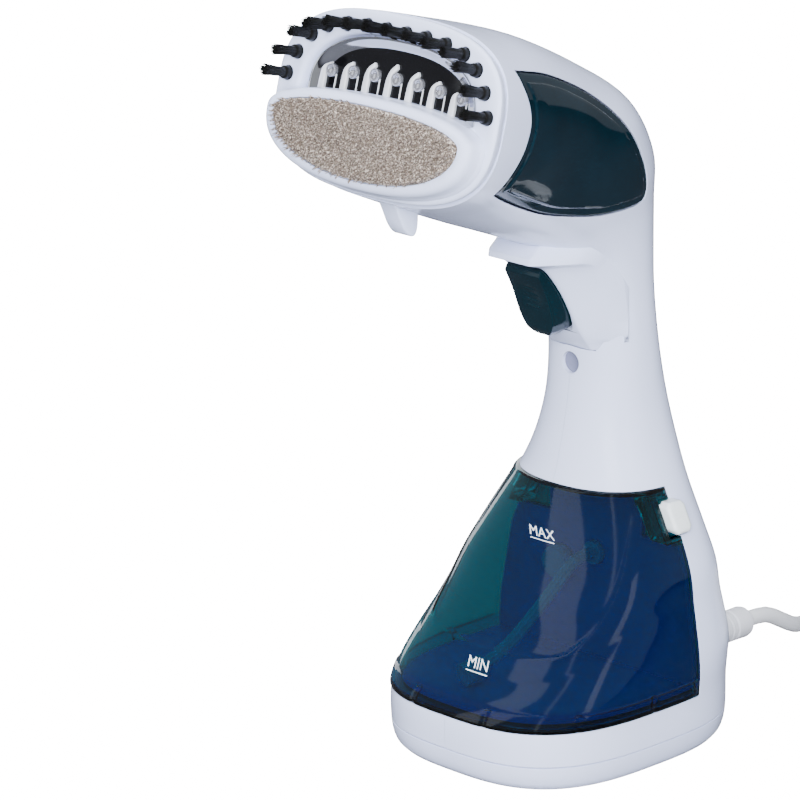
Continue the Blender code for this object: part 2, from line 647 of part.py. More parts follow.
def make_trigger_group():
    bezel = add_part("trigger_bezel", prism_mesh("trigger_bezel", BEZEL_OUTLINE, -BEZEL_HALF, BEZEL_HALF),
                     WHITE, 0.3)
    pocket = prism_mesh("trigger_pocket", POCKET_OUTLINE, -TRIGGER_HALF - 0.4, TRIGGER_HALF + 0.4)
    boolean(bezel, add_cutter("trigger_pocket", pocket))
    holes = [rod_mesh("pin_hole", PIN_R + GAP, (-20, PIVOT_Y, PIVOT_Z), (20, PIVOT_Y, PIVOT_Z), 12),
             rod_mesh("plunger_hole", 2.0, (0, -14.5, 179), (0, -5, 179), 12)]
    boolean(bezel, add_cutter("bezel_holes", joined_mesh("bezel_holes", holes)))

    pivot = new_empty("trigger_axis", AXIS, (0, PIVOT_Y, PIVOT_Z))
    outline = [(y - PIVOT_Y, z - PIVOT_Z) for y, z in TRIGGER_OUTLINE]
    trigger = add_part("trigger", prism_mesh("trigger", outline, -TRIGGER_HALF, TRIGGER_HALF), TEAL, 0.25,
                       parent=pivot)
    bevel(trigger, 1.1, 2)
    boolean(trigger, add_cutter("trigger_bore", rod_mesh(
        "trigger_bore", PIN_R + GAP, (-20, 0, 0), (20, 0, 0), 12), pivot))
    add_part("trigger_pin", rod_mesh("trigger_pin", PIN_R, (-BEZEL_HALF, PIVOT_Y, PIVOT_Z),
                                     (BEZEL_HALF, PIVOT_Y, PIVOT_Z), 12), STEEL, 0.3, 1.0)
    spring = coil_points((0, -17.6, 171.5), (0, -13.9, 171.5), 2.0, 3)
    add_tube("trigger_spring", spring, 0.35, STEEL, 0.3, 1)

    case = box_mesh("micro_switch", (-5.5, -8.7, 171), (5.5, -1.5, 187))
    switch = add_part("micro_switch", case, BLACK, 0.5)
    boolean(switch, add_cutter("switch_plunger", rod_mesh(
        "switch_plunger", 1.5, (0, -14.2, 179), (0, -7.5, 179), 10)), "UNION")
    lens = rod_mesh("indicator_lens", LAMP_R, (0, -13.6, LAMP_Z), (0, -8.5, LAMP_Z), 16)
    add_part("indicator_lens", lens, (0.55, 0.56, 0.66, 1), 0.2)


# ---------------------------------------------------------------- head face group

OPENING = (44.3, 0.0, 24.9, 20.0, 2.4)         # hole in the brush frame over the steam plate
LINT_FRAME = (53.5, -9.0, 12.4, 23.6, 2.35)
LINT_PAD = (47.0, -9.2, 7.9, 19.0, 2.1)
FRAME_FRONT = 8.2
TUFT_LENGTH = 13.0
TUFT_PLACES = ((51.3, 3.9), (48.0, 12.3), (42.2, 19.7), (34.8, 24.2), (25.2, 26.2), (15.1, 27.0),
               (5.0, 27.0))                    # x, y of the tufts on one side


def nozzle_place(number):
    x = (number - 4) * 11.15
    return x, 9.9 - 0.0016 * x * x


def make_steam_plate():
    layers = [(-10.0, 45.8, 2.0, 24.4, 20.0, 2.5), (-8.6, 45.8, 2.0, 24.4, 20.0, 2.5),
              (-8.6, 43.4, 2.0, 22.2, 17.8, 2.4), (-4.8, 43.4, 2.0, 22.2, 17.8, 2.4),
              (-3.2, 41.4, 2.0, 20.2, 15.8, 2.35)]
    plate = add_part("steam_plate", oval_solid("steam_plate", layers), STEEL, 0.08, 1.0, FACE)
    fins = []
    for number in range(1, 8):
        x, y = nozzle_place(number)
        outline = [(x - 5.6, -6.0), (x - 3.1, -6.0), (x - 3.1, y + 1.0), (x - 2.4, y + 5.4),
                   (x - 4.4, y + 3.4)]
        fins.append(plate_mesh("fin", outline, -4.2, -1.2))
    boolean(plate, add_cutter("plate_fins", joined_mesh("plate_fins", fins), FACE), "UNION")


def make_nozzles():
    for number in range(1, 8):
        x, y = nozzle_place(number)
        name = "steam_nozzle_%d" % number
        profile = [(1.1, -2.9), (2.4, -2.9), (2.4, -2.1), (2.0, -1.6), (1.1, -1.6)]
        add_part(name, ring_mesh(name, profile, (x, y), 10), STEEL, 0.12, 1.0, FACE)


def make_front_bezel():
    ring = add_part("front_bezel", oval_solid("front_bezel", [
        (-8.3, 49.4, 0.0, 28.0, 28.0, 2.7), (-6.3, 50.4, 0.0, 28.8, 28.8, 2.75)]), WHITE, 0.3, parent=FACE)
    boolean(ring, add_cutter("plate_hole", oval_solid("plate_hole", [
        (-12.0, 43.9, 2.0, 22.7, 18.3, 2.4), (-2.0, 43.9, 2.0, 22.7, 18.3, 2.4)]), FACE))


def make_brush_frame():
    frame = add_part("brush_frame", oval_solid("brush_frame", [
        (FACE_SEAT + GAP, 54.6, 0.0, 32.6, 32.6, 2.8), (-1.4, 56.5, 0.0, 33.5, 33.5, 2.85),
        (0.0, 55.6, 0.0, 32.7, 32.7, 2.85)]), WHITE, 0.28, parent=BRUSH)
    half, centre, rise, drop, power = LINT_FRAME
    boolean(frame, add_cutter("lint_boss", oval_solid("lint_boss", [
        (-2.0, half, centre, rise, drop, power),
        (FRAME_FRONT - 1.2, half - 1.6, centre, rise - 1.0, drop - 2.4, power),
        (FRAME_FRONT, half - 3.0, centre, rise - 2.2, drop - 3.8, power)]), BRUSH), "UNION")
    boolean(frame, add_cutter("plate_window", oval_solid("plate_window", [
        (-20.0, *OPENING[:3], 2.0, OPENING[4]), (0.5, *OPENING[:3], 2.0, OPENING[4]),
        (30.0, *OPENING[:3], 2.0, OPENING[4])]), BRUSH))
    boolean(frame, add_cutter("frame_hollow", oval_solid("frame_hollow", [
        (-20.0, 48.6, -4.0, 7.0, 22.5, 2.6), (3.6, 48.6, -4.0, 7.0, 22.5, 2.6)]), BRUSH))
    half, centre, rise, drop, power = LINT_PAD
    boolean(frame, add_cutter("pad_seat", oval_solid("pad_seat", [
        (FRAME_FRONT - 1.8, half + GAP, centre, rise + GAP, drop + GAP, power),
        (FRAME_FRONT + 9, half + GAP, centre, rise + GAP, drop + GAP, power)]), BRUSH))
    groove = [plate_mesh("groove", strip_outline(2.6 + GAP), -20.0, -3.0)]
    for x, y in tuft_places():
        groove.append(rod_mesh("tuft_hole", 2.75, (x, y, -4.0), (x, y, 12.0), 10))
    cutter = add_cutter("bristle_slots", groove[0], BRUSH)
    boolean(cutter, add_cutter("bristle_holes", joined_mesh("bristle_holes", groove[1:]), BRUSH), "UNION")
    boolean(frame, cutter)


def tuft_places():
    places = []
    for x, y in TUFT_PLACES:
        places.append((-x, y))
        places.append((x, y))
    return places


def strip_outline(half_width):
    """Band that runs through all the tufts over the top of the face."""
    line = [Vector((-x, y)) for x, y in TUFT_PLACES] + [Vector((x, y)) for x, y in reversed(TUFT_PLACES)]
    outer, inner = [], []
    for k, point in enumerate(line):
        ahead = (line[min(k + 1, len(line) - 1)] - line[max(k - 1, 0)]).normalized()
        normal = Vector((-ahead.y, ahead.x)) * half_width
        stretch = ahead * (half_width if k == len(line) - 1 else -half_width if k == 0 else 0.0)
        outer.append(tuple(point + normal + stretch))
        inner.append(tuple(point - normal + stretch))
    return outer + inner[::-1]


def make_bristles():
    base = plate_mesh("bristle_strip", strip_outline(2.6), -5.2, -3.3)
    strip = add_part("bristle_strip", base, BLACK, 0.5, parent=BRUSH)
    tufts = [rod_mesh("tuft", 2.3, (x, y, -4.2), (x, y, TUFT_LENGTH), 7) for x, y in tuft_places()]
    boolean(strip, add_cutter("bristle_tufts", joined_mesh("bristle_tufts", tufts), BRUSH), "UNION")


def make_lint_pad():
    half, centre, rise, drop, power = LINT_PAD
    pad = oval_solid("lint_pad", [
        (FRAME_FRONT - 1.5, half, centre, rise, drop, power),
        (FRAME_FRONT + 0.6, half, centre, rise, drop, power),
        (FRAME_FRONT + 1.4, half - 1.5, centre, rise - 1.2, drop - 1.5, power)])
    add_part("lint_pad", pad, (0.35, 0.29, 0.24, 1), 0.9, parent=BRUSH)


def make_release_tab():
    pivot = new_empty("tab_axis", AXIS, (0, -104.0, 233.0))
    outline = [(y + 104.0, z - 233.0) for y, z in TAB_OUTLINE]
    tab = add_part("brush_release_tab", prism_mesh("brush_release_tab", outline, -4.6, 4.6), WHITE, 0.3,
                   parent=pivot)
    bevel(tab, 0.8, 1)


def make_heater():
    layers = [(-30.0, 35.0, 2.0, 17.0, 15.0, 3.5), (-10.3, 37.0, 2.0, 18.0, 16.0, 3.5)]
    add_part("heater_block", oval_solid("heater_block", layers), (0.6, 0.6, 0.62, 1), 0.5, 0.9, FACE)
    add_part("heater_cover", oval_solid("heater_cover", [
        (-33.0, 34.0, 2.0, 16.0, 14.0, 3.5), (-30.3, 34.0, 2.0, 16.0, 14.0, 3.5)]), STEEL, 0.4, 1.0, FACE)
    add_part("thermostat", rod_mesh("thermostat", 7.0, (-14, 2, -39.0), (-14, 2, -33.3), 16),
             (0.75, 0.7, 0.6, 1), 0.5, 0.0, FACE)
    add_part("thermal_fuse", rod_mesh("thermal_fuse", 2.2, (8, -7, -35.6), (24, -7, -35.6), 10),
             (0.7, 0.7, 0.7, 1), 0.4, 0.0, FACE)


# ---------------------------------------------------------------- pump, hoses, cord

def make_pump():
    floor = add_part("pump_bracket", box_mesh("pump_bracket", (-22, 9, 4.0), (22, 34, 6.5)), GREY, 0.5)
    posts = [box_mesh("post", (x - 1.5, 12, 5.5), (x + 1.5, 31, 30.0)) for x in (-16, 16)]
    boolean(floor, add_cutter("bracket_posts", joined_mesh("bracket_posts", posts)), "UNION")
    boolean(floor, add_cutter("bracket_bore", rod_mesh(
        "bracket_bore", 9.3, (-30, 21.5, 38.5), (30, 21.5, 38.5), 20)))
    add_part("pump", rod_mesh("pump", 9.0, (-20, 21.5, 38.5), (20, 21.5, 38.5), 20),
             (0.25, 0.25, 0.27, 1), 0.4)
    low = [(0, 8.4, VALVE_Z), (0, 14, VALVE_Z - 1), (-2, 19.5, 62), (-4, 21.5, 54), (-4, 21.5, 47.9)]
    add_tube("hose_tank_to_pump", smooth_route(low, 5.0), 2.4, (0.8, 0.8, 0.8, 1), 0.4)
    high = [(11, 21.5, 47.9), (11, 21, 60), (10, 16, 80), (8, 13, 105), (6, 14, 130), (5, 12, 160),
            (5, 9, 190), (5, 5, 212), (4, -10, 234), (4, -38, 250), (4, -74, 258.5)]
    add_tube("hose_pump_to_heater", smooth_route(high, 9.0), 2.4, (0.8, 0.8, 0.8, 1), 0.4)


def cord_route():
    return [(0, GLAND_END + GAP, CORD_Z), (0, 96, CORD_Z), (0, 104, 18.0), (-1.5, 114, 12.5), (-4, 124, 6.4),
            (-8, 134, CORD_R + 0.3), (-11, 141, CORD_R + 0.2), (-12.4, 145.6, CORD_R + 0.2)]


def make_cord():
    turn = Matrix.Rotation(math.radians(-90.0), 3, "X")
    gland = [(9.0, 37.4), (9.0, 40.2), (6.9, 40.2), (7.0, 46.0), (6.6, 52.0), (6.4, 76.0), (6.9, 86.0),
             (6.9, GLAND_END - 0.6), (6.2, GLAND_END)]
    add_part("cord_gland", turned_mesh("cord_gland", gland, turn, (0, 0, CORD_Z), 20), WHITE, 0.4)
    add_tube("cord_tube", smooth_route(cord_route(), 7.0), CORD_R, (0.72, 0.72, 0.74, 1), 0.5, 3)
    edge = 4.0
    profile = [(COIL_INNER, COIL_BOTTOM + edge), (COIL_INNER, COIL_TOP - edge), (COIL_INNER + edge, COIL_TOP),
               (COIL_OUTER - edge, COIL_TOP), (COIL_OUTER, COIL_TOP - edge), (COIL_OUTER, COIL_BOTTOM + edge),
               (COIL_OUTER - edge, COIL_BOTTOM), (COIL_INNER + edge, COIL_BOTTOM)]
    add_part("cord_coil", ring_mesh("cord_coil", profile, (COIL_X, COIL_Y), 32), (0.72, 0.72, 0.74, 1), 0.5)
    make_tie()
    make_plug()


def make_tie():
    """Flat strap closed round the bundle of turns, on the side of the coil that faces the appliance."""
    x_low, x_high = COIL_X - 4.0, COIL_X + 4.0
    tie = add_part("cord_tie", box_mesh("cord_tie", (x_low, COIL_Y - COIL_OUTER - 1.3, 0.0),
                                        (x_high, COIL_Y - COIL_INNER + 1.3, COIL_TOP + 1.1)), BLACK, 0.6)
    boolean(tie, add_cutter("tie_hole", box_mesh(
        "tie_hole", (x_low - 2, COIL_Y - COIL_OUTER - 0.5, 0.8),
        (x_high + 2, COIL_Y - COIL_INNER + 0.6, COIL_TOP + 0.4))))


def make_plug():
    """Flat two-pin plug lying on the coil."""
    middle = PLUG_LOW + 7.0
    rings = []
    for y, half, tall in ((PLUG_REAR + 10, 4.6, 4.6), (PLUG_REAR, 6.0, 5.2), (PLUG_REAR - 10, 11.0, 6.6),
                          (PLUG_REAR - 20, 15.5, 7.0), (PLUG_FRONT + 2, 17.2, 7.0), (PLUG_FRONT, 16.4, 6.3)):
        ring = []
        for k in range(20):
            angle = 2 * math.pi * k / 20
            ring.append(Vector((PLUG_X + signed_power(math.cos(angle), 0.7) * half, y,
                                middle + signed_power(math.sin(angle), 0.7) * tall)) * MM)
        rings.append(ring)
    add_part("plug_body", skin_rings(rings, "plug_body"), (0.72, 0.72, 0.74, 1), 0.5)
    for label, x in (("left", PLUG_X - 9.3), ("right", PLUG_X + 9.3)):
        name = "plug_pin_" + label
        add_part(name, rod_mesh(name, 2.0, (x, PLUG_FRONT - GAP, middle), (x, PLUG_FRONT - 19.3, middle), 12),
                 STEEL, 0.25, 1.0)


# ---------------------------------------------------------------- assembly

clear_scene()
PARTS = new_collection("handheld_steamer")
CUTTERS = new_collection("cutters")
AXIS = new_empty("steamer_axis", None, (0.0, AXIS_Y, 0.0))
FACE = new_empty("head_face", AXIS, FACE_CENTRE, 90.0 - FACE_TILT)
BRUSH = new_empty("brush_attachment", FACE)
CUT = make_cutters()
CUT["button_outer"] = add_cutter("button_outer", body_loft("button_outer", 3.0, T_NECK, -BUTTON_PROUD))
CUT["button_inner"] = add_cutter("button_inner", body_loft("button_inner", 2.5, T_NECK + 0.5, BUTTON_DEPTH))

for LABEL, SIDE in (("left", -1), ("right", 1)):
    make_housing_half(LABEL, SIDE)
    make_window(LABEL, SIDE)
    make_latch(LABEL, SIDE)
make_side_screws()
make_base_cover()
make_feet()
make_tank_dock()
make_tank()
make_tank_fittings()
make_trigger_group()
make_steam_plate()
make_nozzles()
make_front_bezel()
make_brush_frame()
make_bristles()
make_lint_pad()
make_release_tab()
make_heater()
make_pump()
make_cord()
bpy.context.view_layer.update()
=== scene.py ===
"""Looks of the handheld garment steamer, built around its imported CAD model."""
import math
import random

import bmesh
import bpy
import numpy as np
from mathutils import Matrix, Vector


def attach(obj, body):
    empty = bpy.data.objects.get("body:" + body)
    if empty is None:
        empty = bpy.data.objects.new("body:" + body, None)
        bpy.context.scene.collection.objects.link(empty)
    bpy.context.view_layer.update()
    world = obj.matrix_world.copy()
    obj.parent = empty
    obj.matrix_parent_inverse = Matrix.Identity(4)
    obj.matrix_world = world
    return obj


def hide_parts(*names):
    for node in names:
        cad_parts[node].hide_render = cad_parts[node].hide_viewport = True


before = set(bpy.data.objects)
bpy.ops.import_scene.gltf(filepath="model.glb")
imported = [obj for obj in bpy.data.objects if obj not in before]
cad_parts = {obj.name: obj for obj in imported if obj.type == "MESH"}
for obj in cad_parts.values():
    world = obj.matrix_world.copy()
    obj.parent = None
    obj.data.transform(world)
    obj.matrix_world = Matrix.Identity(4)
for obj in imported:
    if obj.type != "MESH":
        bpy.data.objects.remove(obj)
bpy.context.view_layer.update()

MM = 0.001
AXIS_Y = 43.6
AXIS = Matrix.Translation((0.0, AXIS_Y, 0.0))
FACE_LOCAL = Matrix.Translation((0.0, -115.0, 267.7)) @ Matrix.Rotation(math.radians(75.0), 4, "X")
FACE = AXIS @ FACE_LOCAL

# Stations of the body: front y, front z, rear y, rear z, half width, roundness (mm, handle axis at y = 0).
STATIONS = (
    (-78.0, 0.0, 40.5, 0.0, 50.5, 2.9), (-81.0, 3.5, 43.0, 3.5, 52.8, 2.9),
    (-82.4, 10.5, 44.0, 10.5, 54.2, 2.9), (-82.4, 24.0, 44.0, 24.0, 54.2, 2.9),
    (-77.0, 32.0, 43.2, 32.0, 54.3, 3.0), (-68.0, 40.0, 42.0, 40.0, 53.5, 3.2),
    (-58.5, 49.0, 40.0, 49.0, 52.0, 3.2), (-48.0, 60.0, 38.0, 60.0, 50.0, 3.0),
    (-39.5, 72.0, 36.5, 72.0, 48.0, 2.85), (-32.0, 85.0, 34.3, 85.0, 43.0, 2.6),
    (-24.3, 103.0, 32.5, 103.0, 34.0, 2.3), (-20.0, 118.0, 31.0, 118.0, 27.0, 2.3),
    (-16.6, 134.0, 27.8, 134.0, 23.0, 2.3), (-14.9, 150.0, 23.8, 150.0, 22.0, 2.3),
    (-15.5, 166.0, 20.5, 166.0, 22.0, 2.3), (-19.0, 181.0, 18.5, 182.0, 22.5, 2.3),
    (-28.0, 194.0, 17.5, 200.0, 24.5, 2.3), (-41.0, 201.5, 16.5, 218.0, 27.5, 2.3),
    (-53.0, 206.5, 13.5, 237.0, 32.0, 2.3), (-66.0, 211.5, -1.0, 257.0, 36.0, 2.35),
    (-82.0, 217.5, -28.0, 273.0, 40.0, 2.4), (-98.0, 224.0, -60.0, 287.5, 46.5, 2.5),
    (-112.0, 230.0, -88.0, 295.5, 52.5, 2.7), (-123.7, 235.3, -106.3, 300.1, 56.5, 2.85),
)
WINDOW_OUTLINE = [
    (-95.0, 285.0), (-72.0, 279.0), (-48.0, 269.0), (-31.0, 259.0), (-19.0, 248.5), (-11.0, 238.0),
    (-6.0, 228.0), (-4.5, 220.5), (-8.0, 217.2), (-20.0, 216.6), (-34.0, 217.2), (-48.0, 219.5),
    (-63.0, 223.0), (-79.0, 229.0), (-94.0, 235.5), (-103.5, 240.0), (-99.0, 247.5), (-93.2, 256.0),
    (-90.3, 264.0), (-90.8, 271.5), (-93.0, 278.5),
]
WINDOW_CORNERS = (0, 15)
BEZEL_CORNERS = (6, 7, 11, 0)
FOOT_PLACES = ((-34.0, -56.0), (34.0, -56.0), (-30.0, 24.0), (30.0, 24.0))
BEZEL_OUTLINE = [
    (-14.4, 157.0), (-19.5, 163.5), (-23.2, 169.5), (-26.0, 174.5), (-32.2, 184.3), (-40.6, 193.6),
    (-49.4, 196.9), (-49.0, 199.3), (-38.0, 205.5), (-16.0, 194.0), (-10.0, 180.0), (-9.2, 157.0),
]


# ---------------------------------------------------------------- small helpers

def add_object(name, data):
    made = bpy.data.objects.new(name, data)
    bpy.context.scene.collection.objects.link(made)
    return made


def smooth_step(u):
    u = min(max(u, 0.0), 1.0)
    return u * u * (3 - 2 * u)


def signed_power(value, power):
    return math.copysign(abs(value) ** power, value)


def circle(sides):
    """Cosine and sine of evenly spaced angles, once round."""
    angles = [2 * math.pi * k / sides for k in range(sides)]
    return [(math.cos(angle), math.sin(angle)) for angle in angles]


def hermite(u, here, slope_here, there, slope_there):
    """Smooth run from here (u = 0) to there (u = 1) with the given slopes."""
    return ((2 * u**3 - 3 * u**2 + 1) * here + (u**3 - 2 * u**2 + u) * slope_here
            + (3 * u**2 - 2 * u**3) * there + (u**3 - u**2) * slope_there)


def solve(function, low, high, steps=26):
    """Root of a function that rises from low to high."""
    for _ in range(steps):
        middle = (low + high) / 2
        if function(middle) < 0:
            low = middle
        else:
            high = middle
    return (low + high) / 2


# ---------------------------------------------------------------- camera, light, floor

FLOOR_GLOW = 20.0                           # how brightly the camera sees the floor paper
SKY_DIM, SKY_BRIGHT = 0.4, 22.0             # strength of the surroundings: on the object, and behind it
LIGHT_TINT = (0.90, 0.94, 1.0)
LIGHTS = (                                  # name, place, aim, size in metres, watts, seen in reflections
    ("top_soft", (-0.15, -0.35, 1.6), (0, 0, 0.1), (1.6, 1.6), 44.0, False),
    ("front_soft", (1.1, -1.1, 0.7), (0, 0, 0.12), (0.8, 0.8), 82.0, False),
    ("front_band", (-0.62, -1.20, 1.10), (0, 0, 0.1), (0.8, 2.3), 6.5, True),
    ("right_band", (0.75, -1.08, 1.00), (0, 0, 0.1), (0.12, 1.8), 0.7, True),
    ("side_band", (1.5, -0.1, 0.5), (0, 0, 0.12), (0.2, 1.0), 0.9, True),
    ("left_rim", (-1.6, 0.75, 0.6), (0, 0, 0.12), (0.9, 1.8), 16.0, True),
)


def make_camera():
    azimuth, elevation, distance = math.radians(44.62), math.radians(17.43), 1774.3
    back = Vector((math.sin(azimuth) * math.cos(elevation), -math.cos(azimuth) * math.cos(elevation),
                   math.sin(elevation)))
    camera = add_object("camera", bpy.data.cameras.new("camera"))
    place = AXIS @ (Vector((0.0, -81.7, 130.0)) + back * distance)
    aim = AXIS @ Vector((0.0, -106.63, 154.77))
    camera.location = place * MM
    camera.rotation_mode = "QUATERNION"
    camera.rotation_quaternion = (aim - place).to_track_quat("-Z", "Y")
    camera.data.lens = 213.2
    camera.data.sensor_width = 36.0
    bpy.context.scene.camera = camera


def area_light(name, place, aim, size, power, mirrored):
    data = bpy.data.lights.new(name, "AREA")
    data.shape = "RECTANGLE"
    data.size, data.size_y = size
    data.energy = power
    data.color = LIGHT_TINT
    light = add_object(name, data)
    light.location = place
    light.rotation_mode = "QUATERNION"
    light.rotation_quaternion = (Vector(aim) - Vector(place)).to_track_quat("-Z", "Y")
    light.visible_glossy = mirrored
    light.visible_camera = False
    light.visible_transmission = False


def make_stage():
    world = bpy.data.worlds.new("studio")
    bpy.context.scene.world = world
    world.use_nodes = True
    tree = world.node_tree
    sky = tree.nodes["Background"]
    seen = tree.nodes.new("ShaderNodeLightPath")
    strength = tree.nodes.new("ShaderNodeMapRange")
    strength.inputs["To Min"].default_value = SKY_DIM
    strength.inputs["To Max"].default_value = SKY_BRIGHT
    tree.links.new(seen.outputs["Is Camera Ray"], strength.inputs["Value"])
    tree.links.new(strength.outputs["Result"], sky.inputs["Strength"])
    sky.inputs["Color"].default_value = (0.90, 0.93, 1.0, 1.0)
    for row in LIGHTS:
        area_light(*row)
    bm = bmesh.new()
    bmesh.ops.create_grid(bm, x_segments=2, y_segments=2, size=6.0)
    mesh = bpy.data.meshes.new("floor")
    bm.to_mesh(mesh)
    bm.free()
    floor = add_object("floor", mesh)
    material, tree, shader = node_material("floor_paper")
    path = tree.nodes.new("ShaderNodeLightPath")
    through = color_mix(tree, path.outputs["Is Transmission Ray"], (0.26, 0.26, 0.27), (0.93, 0.93, 0.94))
    tone = color_mix(tree, path.outputs["Is Glossy Ray"], through, (0.08, 0.08, 0.09))
    tree.links.new(tone, shader.inputs["Base Color"])
    shader.inputs["Roughness"].default_value = 0.9
    shader.inputs["Specular IOR Level"].default_value = 0.0
    shader.inputs["Emission Color"].default_value = (0.98, 0.98, 1.0, 1.0)
    glow = mapped(tree, path.outputs["Is Camera Ray"], 0.0, FLOOR_GLOW, 0.0, 1.0)
    tree.links.new(glow, shader.inputs["Emission Strength"])
    mesh.materials.append(material)


# ---------------------------------------------------------------- materials

def node_material(name):
    material = bpy.data.materials.new(name)
    material.use_nodes = True
    return material, material.node_tree, material.node_tree.nodes["Principled BSDF"]


def noise_value(tree, scale, detail):
    noise = tree.nodes.new("ShaderNodeTexNoise")
    noise.inputs["Scale"].default_value = scale
    noise.inputs["Detail"].default_value = detail
    place = tree.nodes.new("ShaderNodeTexCoord")
    tree.links.new(place.outputs["Object"], noise.inputs["Vector"])
    return noise.outputs["Fac"]


def mapped(tree, source, low, high, from_low=0.3, from_high=0.7):
    step = tree.nodes.new("ShaderNodeMapRange")
    step.inputs["From Min"].default_value = from_low
    step.inputs["From Max"].default_value = from_high
    step.inputs["To Min"].default_value = low
    step.inputs["To Max"].default_value = high
    tree.links.new(source, step.inputs["Value"])
    return step.outputs["Result"]


def color_mix(tree, factor, first, second):
    """Mixed colour of two, each a plain colour or another node's output."""
    mix = tree.nodes.new("ShaderNodeMix")
    mix.data_type = "RGBA"
    for socket, source in (("A", first), ("B", second)):
        if isinstance(source, tuple):
            mix.inputs[socket].default_value = (*source, 1.0)
        else:
            tree.links.new(source, mix.inputs[socket])
    tree.links.new(factor, mix.inputs["Factor"])
    return mix.outputs["Result"]


def plastic(name, color, rough, metal=0.0, grain=0.04, grain_scale=1400.0, edge=0.0, coat=0.0,
            transmission=0.0, spread=0.05, ior=1.47, shine=0.5):
    """Moulded material: slight colour drift, uneven gloss, fine grain and softened edges."""
    material, tree, shader = node_material(name)
    shader.inputs["Metallic"].default_value = metal
    shader.inputs["IOR"].default_value = ior
    shader.inputs["Specular IOR Level"].default_value = shine
    shader.inputs["Coat Weight"].default_value = coat
    shader.inputs["Coat Roughness"].default_value = 0.05
    shader.inputs["Transmission Weight"].default_value = transmission
    drift = mapped(tree, noise_value(tree, 45.0, 4.0), 0.0, 1.0)
    darker = tuple(c * (1.0 - spread) for c in color)
    tree.links.new(color_mix(tree, drift, color, darker), shader.inputs["Base Color"])
    gloss = mapped(tree, noise_value(tree, 130.0, 5.0), rough * 0.85, rough * 1.2)
    tree.links.new(gloss, shader.inputs["Roughness"])
    normal = None
    if edge:
        rounding = tree.nodes.new("ShaderNodeBevel")
        rounding.samples = 4
        rounding.inputs["Radius"].default_value = edge * MM
        normal = rounding.outputs["Normal"]
    if grain:
        bump = tree.nodes.new("ShaderNodeBump")
        bump.inputs["Strength"].default_value = grain
        bump.inputs["Distance"].default_value = 0.0002
        tree.links.new(noise_value(tree, grain_scale, 2.0), bump.inputs["Height"])
        if normal:
            tree.links.new(normal, bump.inputs["Normal"])
        normal = bump.outputs["Normal"]
    if normal:
        tree.links.new(normal, shader.inputs["Normal"])
    return material


# ---------------------------------------------------------------- mesh helpers (millimetres)

def new_object(name, bm):
    bmesh.ops.recalc_face_normals(bm, faces=bm.faces)
    mesh = bpy.data.meshes.new(name)
    bm.to_mesh(mesh)
    bm.free()
    return add_object(name, mesh)


def settle(piece, place, body, slot, material, *nodes, smooth=35.0):
    """Put a finished piece at its real place and size, and hang it on its body."""
    piece.data.transform(Matrix.Scale(MM, 4) @ place)
    piece.data.materials.clear()
    piece.data.materials.append(material)
    piece.data.shade_smooth()
    piece.data.set_sharp_from_angle(angle=math.radians(smooth))
    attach(piece, body)
    if nodes:
        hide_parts(*nodes)
    return piece


def apply_modifiers(piece):
    bpy.context.view_layer.update()
    graph = bpy.context.evaluated_depsgraph_get()
    mesh = bpy.data.meshes.new_from_object(piece.evaluated_get(graph))
    piece.modifiers.clear()
    piece.data = mesh


def cut(piece, cutter, operation="DIFFERENCE"):
    step = piece.modifiers.new("cut", "BOOLEAN")
    step.operation = operation
    step.object = cutter
    step.solver = "EXACT"
    apply_modifiers(piece)
    bpy.data.objects.remove(cutter)


def soften(piece, width, segments=2, angle=35.0):
    step = piece.modifiers.new("edges", "BEVEL")
    step.width = width
    step.segments = segments
    step.limit_method = "ANGLE"
    step.angle_limit = math.radians(angle)
    apply_modifiers(piece)


def thicken(piece, thickness):
    """Give a sheet a wall, inwards from its skin."""
    wall = piece.modifiers.new("wall", "SOLIDIFY")
    wall.thickness = thickness
    wall.offset = -1.0
    apply_modifiers(piece)


def blend_stations(t):
    last = len(STATIONS) - 1
    i = int(min(max(math.floor(t), 0), last - 1))
    u = t - i
    row = []
    for k in range(6):
        before, here = STATIONS[max(i - 1, 0)][k], STATIONS[i][k]
        there, after = STATIONS[i + 1][k], STATIONS[min(i + 2, last)][k]
        slope_here = (there - before) / 2 if i > 0 else there - here
        slope_there = (after - here) / 2 if i + 2 <= last else there - here
        row.append(hermite(u, here, slope_here, there, slope_there))
    return row


def ring_points(t, sides, inset=0.0):
    front_y, front_z, rear_y, rear_z, half_width, power = blend_stations(t)
    middle = Vector((0.0, (front_y + rear_y) / 2, (front_z + rear_z) / 2))
    reach = Vector((0.0, (rear_y - front_y) / 2, (rear_z - front_z) / 2))
    reach -= reach.normalized() * inset
    points = []
    for k in range(sides):
        angle = 2 * math.pi * (k + 0.5) / sides
        across = signed_power(math.sin(angle), 2 / power) * (half_width - inset)
        points.append(middle + reach * signed_power(math.cos(angle), 2 / power) + Vector((across, 0.0, 0.0)))
    return points


def bridge(bm, loops):
    """Faces between each closed loop of vertices and the next."""
    for low, high in zip(loops, loops[1:]):
        for k in range(len(low)):
            after = (k + 1) % len(low)
            bm.faces.new((low[k], low[after], high[after], high[k]))


def tube(bm, rings, capped=True):
    """Faces between each ring of points and the next, and over both ends when capped."""
    loops = [[bm.verts.new(point) for point in ring] for ring in rings]
    bridge(bm, loops)
    if capped:
        bm.faces.new(loops[0])
        bm.faces.new(reversed(loops[-1]))


def skin(name, rings, capped=True):
    bm = bmesh.new()
    tube(bm, rings, capped)
    return new_object(name, bm)


def body_loft(name, t_start, t_end, inset=0.0, capped=True, sides=120, rows=5):
    count = max(1, int(round((t_end - t_start) * rows)))
    marks = [t_start + (t_end - t_start) * k / count for k in range(count + 1)]
    return skin(name, [ring_points(t, sides, inset) for t in marks], capped)


